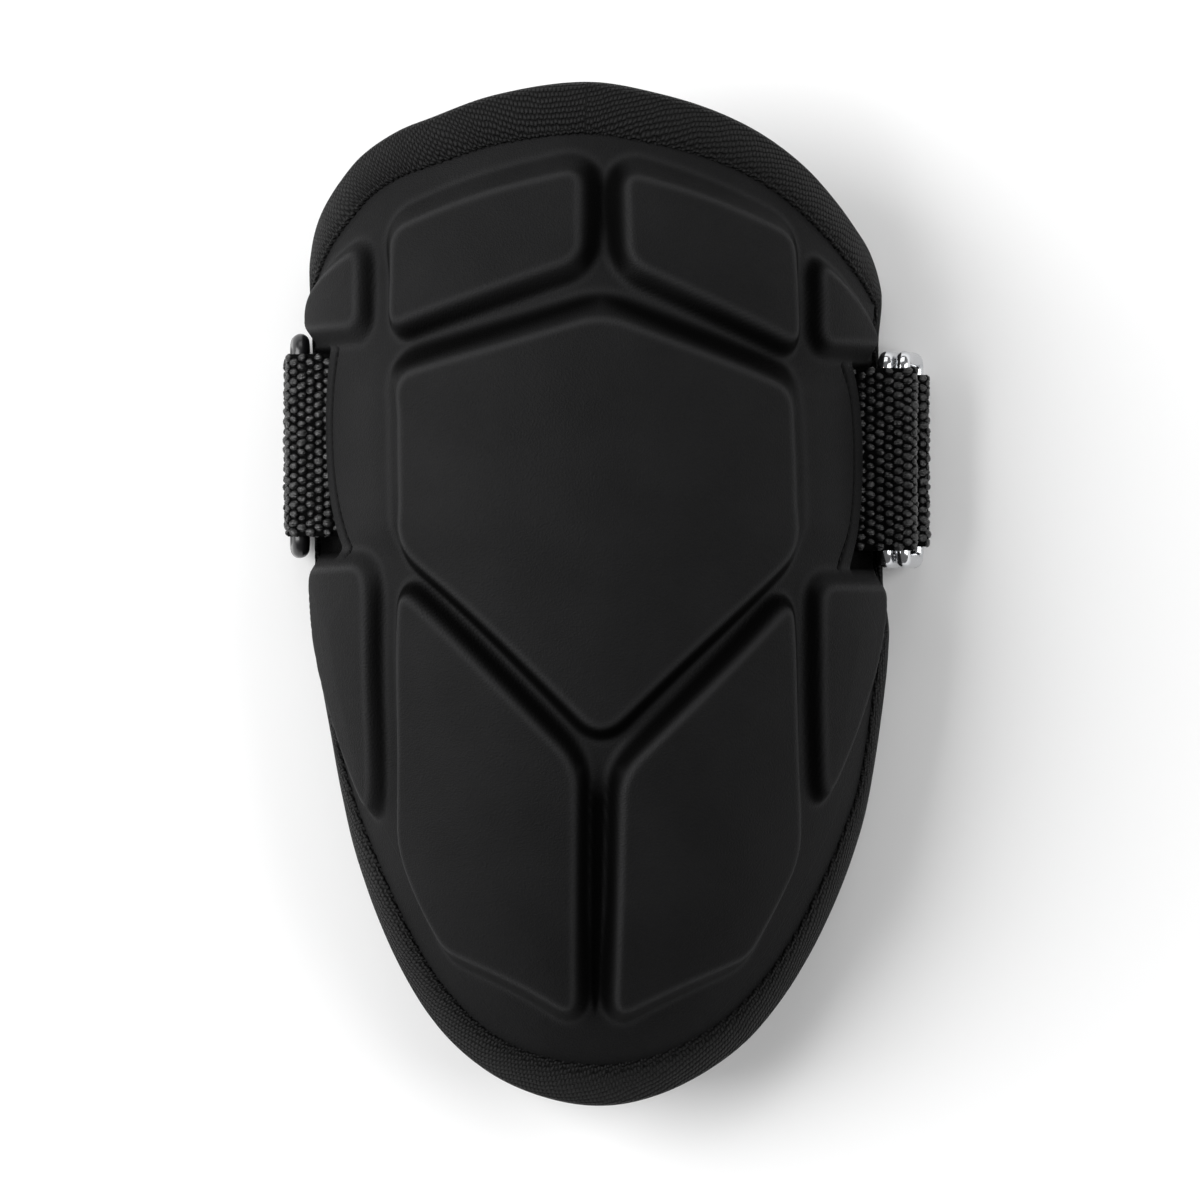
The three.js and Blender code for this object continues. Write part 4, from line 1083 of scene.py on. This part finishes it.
def webbing(name, line, thickness, width, middle_of, rows_across, seed):
    """A ribbon with knuckles on both of its faces."""
    relief = thickness * RELIEF_SHARE
    core = thickness - 2 * relief + 0.15
    piece, centre, outward = ribbon(name, line, core, width, middle_of, KNUCKLE_COLUMN / 2)
    pitch = (width - 0.6) / rows_across
    places, faces_out, runs = [], [], []
    run = unit(np.gradient(centre, axis=0))
    for k in range(1, len(centre) - 1, 2):
        stagger = STAGGER if (k // 2) % 2 else -STAGGER
        for face in (1, -1):
            lift = face * (thickness / 2 - relief * 1.1)
            spot = centre[k] + outward[k] * lift
            for j in range(rows_across):
                offset = (j - (rows_across - 1) / 2 + stagger) * pitch
                places.append((spot[0], middle_of(spot[0]) + offset, spot[1]))
                faces_out.append((outward[k][0] * face, 0, outward[k][1] * face))
                runs.append((run[k][0], 0, run[k][1]))
    cloud = point_cloud(name + "_knuckles", places, faces_out, runs)
    size = tuple(of * share * MM for of, share in zip((KNUCKLE_COLUMN, pitch, relief), KNUCKLE_SIZE))
    knuckles = apply_tree(cloud, KNUCKLES, {"Size": size, "Unevenness": 0.32, "Tilt": 0.4, "Seed": seed,
                                           "Material": YARN})
    # The core between the knuckles is painted near black: painted shade
    piece.data.materials.append(CORE_PAINTED_SHADE)
    return join(piece, knuckles)


left_tab = webbing("left_webbing_tab", tab_line(LEFT), WEBBING_THICKNESS, WEBBING_WIDTH,
                   lambda x: LEFT["tab_y"], 19, 3)
right_tab = webbing("right_webbing_tab", tab_line(RIGHT), WEBBING_THICKNESS, WEBBING_WIDTH,
                    lambda x: RIGHT["tab_y"], 19, 5)
left_end = ring_bars(LEFT)[0][1][0]
right_end = ring_bars(RIGHT)[0][1][0]
strap_skew = (RIGHT["strap_y"] - LEFT["strap_y"]) / (right_end - left_end)
strap = webbing("arm_strap", strap_line(), STRAP_THICKNESS, STRAP_WIDTH,
                lambda x: LEFT["strap_y"] + strap_skew * (x - left_end), 18, 7)
# The strap lies on the floor, which presses its lowest knuckles flat
for vertex in strap.data.vertices:
    vertex.co.z = max(vertex.co.z, 0.02 * MM)
for piece in (left_tab, right_tab, strap):
    print(piece.name, "triangles", sum(len(p.vertices) - 2 for p in piece.data.polygons))

# %% [markdown]
# The rings are plain wire bent to a rectangle with rounded corners. The model's rings are coarse,
# so each is swept again along the same path with a rounder section.

# %% Wire rings
WIRE_SIDES = 20
CORNER_STEPS = 10


def wire_ring(name, side, bars, material):
    """A ring of round wire that stands between its front and its rear bar."""
    front_bar, rear_bar = bars
    wire, reach = side["wire"], (side["ring_length"] - side["wire"]) / 2
    up = front_bar - rear_bar
    tall = float(np.linalg.norm(up))
    up = up / tall
    corner = min(reach - WEBBING_WIDTH / 2 - CLEARANCE / 3, tall / 2)
    path = []
    for centre_a, centre_h, start in ((reach - corner, tall - corner, 0), (corner - reach, tall - corner, 1),
                                      (corner - reach, corner, 2), (reach - corner, corner, 3)):
        for s in range(CORNER_STEPS + 1):
            angle = (start + s / CORNER_STEPS) * math.pi / 2
            path.append((centre_a + corner * math.cos(angle), centre_h + corner * math.sin(angle)))
    path = np.array(path)
    keep = np.linalg.norm(path - np.roll(path, 1, axis=0), axis=1) > 1e-6
    path = path[keep]

    def place(p):
        """A point of the ring's own plane: along the arm, then up from the rear bar to the front bar."""
        return np.array([rear_bar[0] + up[0] * p[1], side["tab_y"] + p[0], rear_bar[1] + up[1] * p[1]])

    flat = np.array([-up[1], 0, up[0]])
    points = []
    for i, p in enumerate(path):
        run = path[(i + 1) % len(path)] - path[i - 1]
        run /= np.linalg.norm(run)
        sideways = place(p + np.array([-run[1], run[0]])) - place(p)
        for k in range(WIRE_SIDES):
            angle = k / WIRE_SIDES * 2 * math.pi
            points.append(place(p) + (sideways * math.cos(angle) + flat * math.sin(angle)) * wire / 2)
    ring = make_piece(name, points, grid_faces(len(path), WIRE_SIDES, close_rows=True, close_columns=True))
    ring.data.materials.append(material)
    return ring


left_ring = wire_ring("left_wire_ring", LEFT, ring_bars(LEFT)[0], BLACK_WIRE)
outer_ring = wire_ring("right_wire_ring_outer", RIGHT, ring_bars(RIGHT)[0], STEEL_WIRE)
inner_ring = wire_ring("right_wire_ring_inner", RIGHT, ring_bars(RIGHT)[1], STEEL_WIRE)

# %% [markdown]
# The cover edge over each tab is held by one line of sewing, and each leg of the tape by another.
# Geometry Nodes set a short rounded stitch on every point of a seam.
# It is the same tree that makes the knuckles of the webbing, with other sizes.

# %% Seams over the tabs
SEAM_STITCH = 1.75


def stitches(name, places, outward, run, size, unevenness, seed):
    """A short rounded stitch on every place, all in one mesh."""
    cloud = point_cloud(name, places, outward, run)
    return apply_tree(cloud, KNUCKLES, {"Size": tuple(side * MM for side in size), "Unevenness": unevenness,
                                        "Tilt": 0.1, "Seed": seed, "Material": THREAD})


def seam_over_tab(name, out, seed):
    """A line of stitches in the groove beside the cover edge."""
    low, high = RECESS_ENDS[out]
    y = np.linspace(low + 0.8, high - 0.8, int((high - low) / SEAM_STITCH))
    limit = edge_of_side(tucked, y, out)
    x = cover_edge(y, limit, out) - out * SEAM_INSET
    places = lifted(x, y, panel_height(x, y)[0] - SEAM_DEPTH / 2)
    run = np.gradient(places, axis=0)
    return stitches(name, places, skin_slopes(x, y)[2], run, (SEAM_STITCH * 0.82, 0.75, 0.36), 0.1, seed)


left_seam = seam_over_tab("left_seam", -1, 11)
right_seam = seam_over_tab("right_seam", 1, 13)


# %% Seams along the tape
def tape_seam(name, inset, lift, facing, seed):
    """Stitches along one leg of the tape, one in each dip."""
    stations = np.linspace(0, RIM_STATIONS, stitches_round, endpoint=False).astype(int)
    spots = (rim + inward_step * np.broadcast_to(inset, RIM_STATIONS)[:, None])[stations]
    places = lifted(*spots.T, np.broadcast_to(lift, RIM_STATIONS)[stations])
    run = np.roll(places, -1, axis=0) - np.roll(places, 1, axis=0)
    outward = skin_slopes(*spots.T)[2] * facing
    return stitches(name, places, outward, run, (STITCH_PITCH * 0.72, 0.36, 0.3), 0.12, seed)


front_seam = tape_seam("tape_front_seam", leg - STITCH_INSET, top - STITCH_DIP + 0.08, 1, 17)
back_seam = tape_seam("tape_back_seam", 8.8, TAPE_BACK + 0.24, -1, 19)
for seam in (left_seam, right_seam, front_seam, back_seam):
    print(seam.name, "polygons", len(seam.data.polygons))

# %% [markdown]
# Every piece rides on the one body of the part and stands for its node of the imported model.

# %% Tie the pieces to the frame
PIECES = [
    (moulded_pad, "cover", "moulded_pad"),
    (left_seam, "cover", "moulded_pad"),
    (right_seam, "cover", "moulded_pad"),
    (edge_tape, "edge_tape", "edge_binding"),
    (front_seam, "edge_tape", "edge_binding"),
    (back_seam, "edge_tape", "edge_binding"),
    (left_tab, "webbing", "left_tab"),
    (right_tab, "webbing", "right_tab"),
    (left_ring, "black_ring", "left_ring"),
    (outer_ring, "steel_ring", "right_ring_outer"),
    (inner_ring, "steel_ring", "right_ring_inner"),
    (strap, "strap", "strap"),
]
for piece, slot_name, node in PIECES:
    low = min(v.co.z for v in piece.data.vertices) / MM
    print(piece.name, "lowest point", round(low, 3), "mm")
    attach(piece, "root")
    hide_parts(node)
triangles = sum(len(p.vertices) - 2 for piece, _, _ in PIECES for p in piece.data.polygons)
print("pieces", len(PIECES), "triangles", triangles)

# %% [markdown]
# The photograph is a studio shot from straight above on white.
# Black cloth shows its form by the light that falls on its slopes, so large soft lights stand at its sides.
# The left one is the strongest, as in the photograph, and a pale room fills the shadows.

# %% Floor, light and camera
FLOOR_SIZE = 3.0
ROOM_BRIGHTNESS = 0.14
# Name, place and size in metres, and power in watts
LIGHTS = [
    ("left_box", (-1.05, 0.15, 0.75), (0.9, 1.2), 26),
    ("right_box", (1.05, 0.1, 0.75), (0.9, 1.2), 10.5),
    ("far_box", (-0.1, 1.1, 0.6), (1.2, 0.7), 5),
]
LIGHTS_AIM = (0, 0, 0.03)


def studio_floor():
    """A plain pale floor."""
    half = FLOOR_SIZE / 2
    mesh = bpy.data.meshes.new("studio_floor")
    corners = [(-half, -half, 0), (half, -half, 0), (half, half, 0), (-half, half, 0)]
    mesh.from_pydata(corners, [], [(0, 1, 2, 3)])
    floor = add_object("studio_floor", mesh)
    paper = new_material("pale_paper", {"Roughness": 0.9, "Base Color": (0.93, 0.93, 0.93, 1)})[0]
    mesh.materials.append(paper)


def area_light(name, place, aim, size, power):
    """A soft square light that looks at a point."""
    data = bpy.data.lights.new(name, "AREA")
    data.shape = "RECTANGLE"
    data.size, data.size_y = size
    data.energy = power
    light = add_object(name, data)
    light.location = place
    light.rotation_euler = (Vector(aim) - Vector(place)).to_track_quat("-Z", "Y").to_euler()


def studio_world(brightness):
    """A pale room."""
    world = bpy.data.worlds.new("studio")
    world.use_nodes = True
    background = world.node_tree.nodes["Background"]
    background.inputs["Color"].default_value = (1, 1, 1, 1)
    background.inputs["Strength"].default_value = brightness
    bpy.context.scene.world = world


CAMERA_HEIGHT = 1.5
CAMERA_OFFSET = (0.07, -1.14)
LENS_PER_PIXEL = 7230 / 1200
SENSOR = 36


def photo_camera():
    """Camera at the photograph's angle: straight above, image up is the guard's wide end."""
    data = bpy.data.cameras.new("photo_camera")
    data.sensor_width = SENSOR
    data.sensor_fit = "HORIZONTAL"
    data.lens = SENSOR * LENS_PER_PIXEL
    data.clip_end = 10
    camera = add_object("photo_camera", data)
    camera.location = (
        (CAMERA_OFFSET[0] + SHIFT[0]) * MM,
        (CAMERA_OFFSET[1] + SHIFT[1]) * MM,
        CAMERA_HEIGHT + SHIFT[2] * MM,
    )
    bpy.context.scene.camera = camera


studio_floor()
studio_world(ROOM_BRIGHTNESS)
for light_name, light_place, light_size, power in LIGHTS:
    area_light(light_name, light_place, LIGHTS_AIM, light_size, power)
photo_camera()
bpy.context.scene.view_settings.view_transform = "Standard"
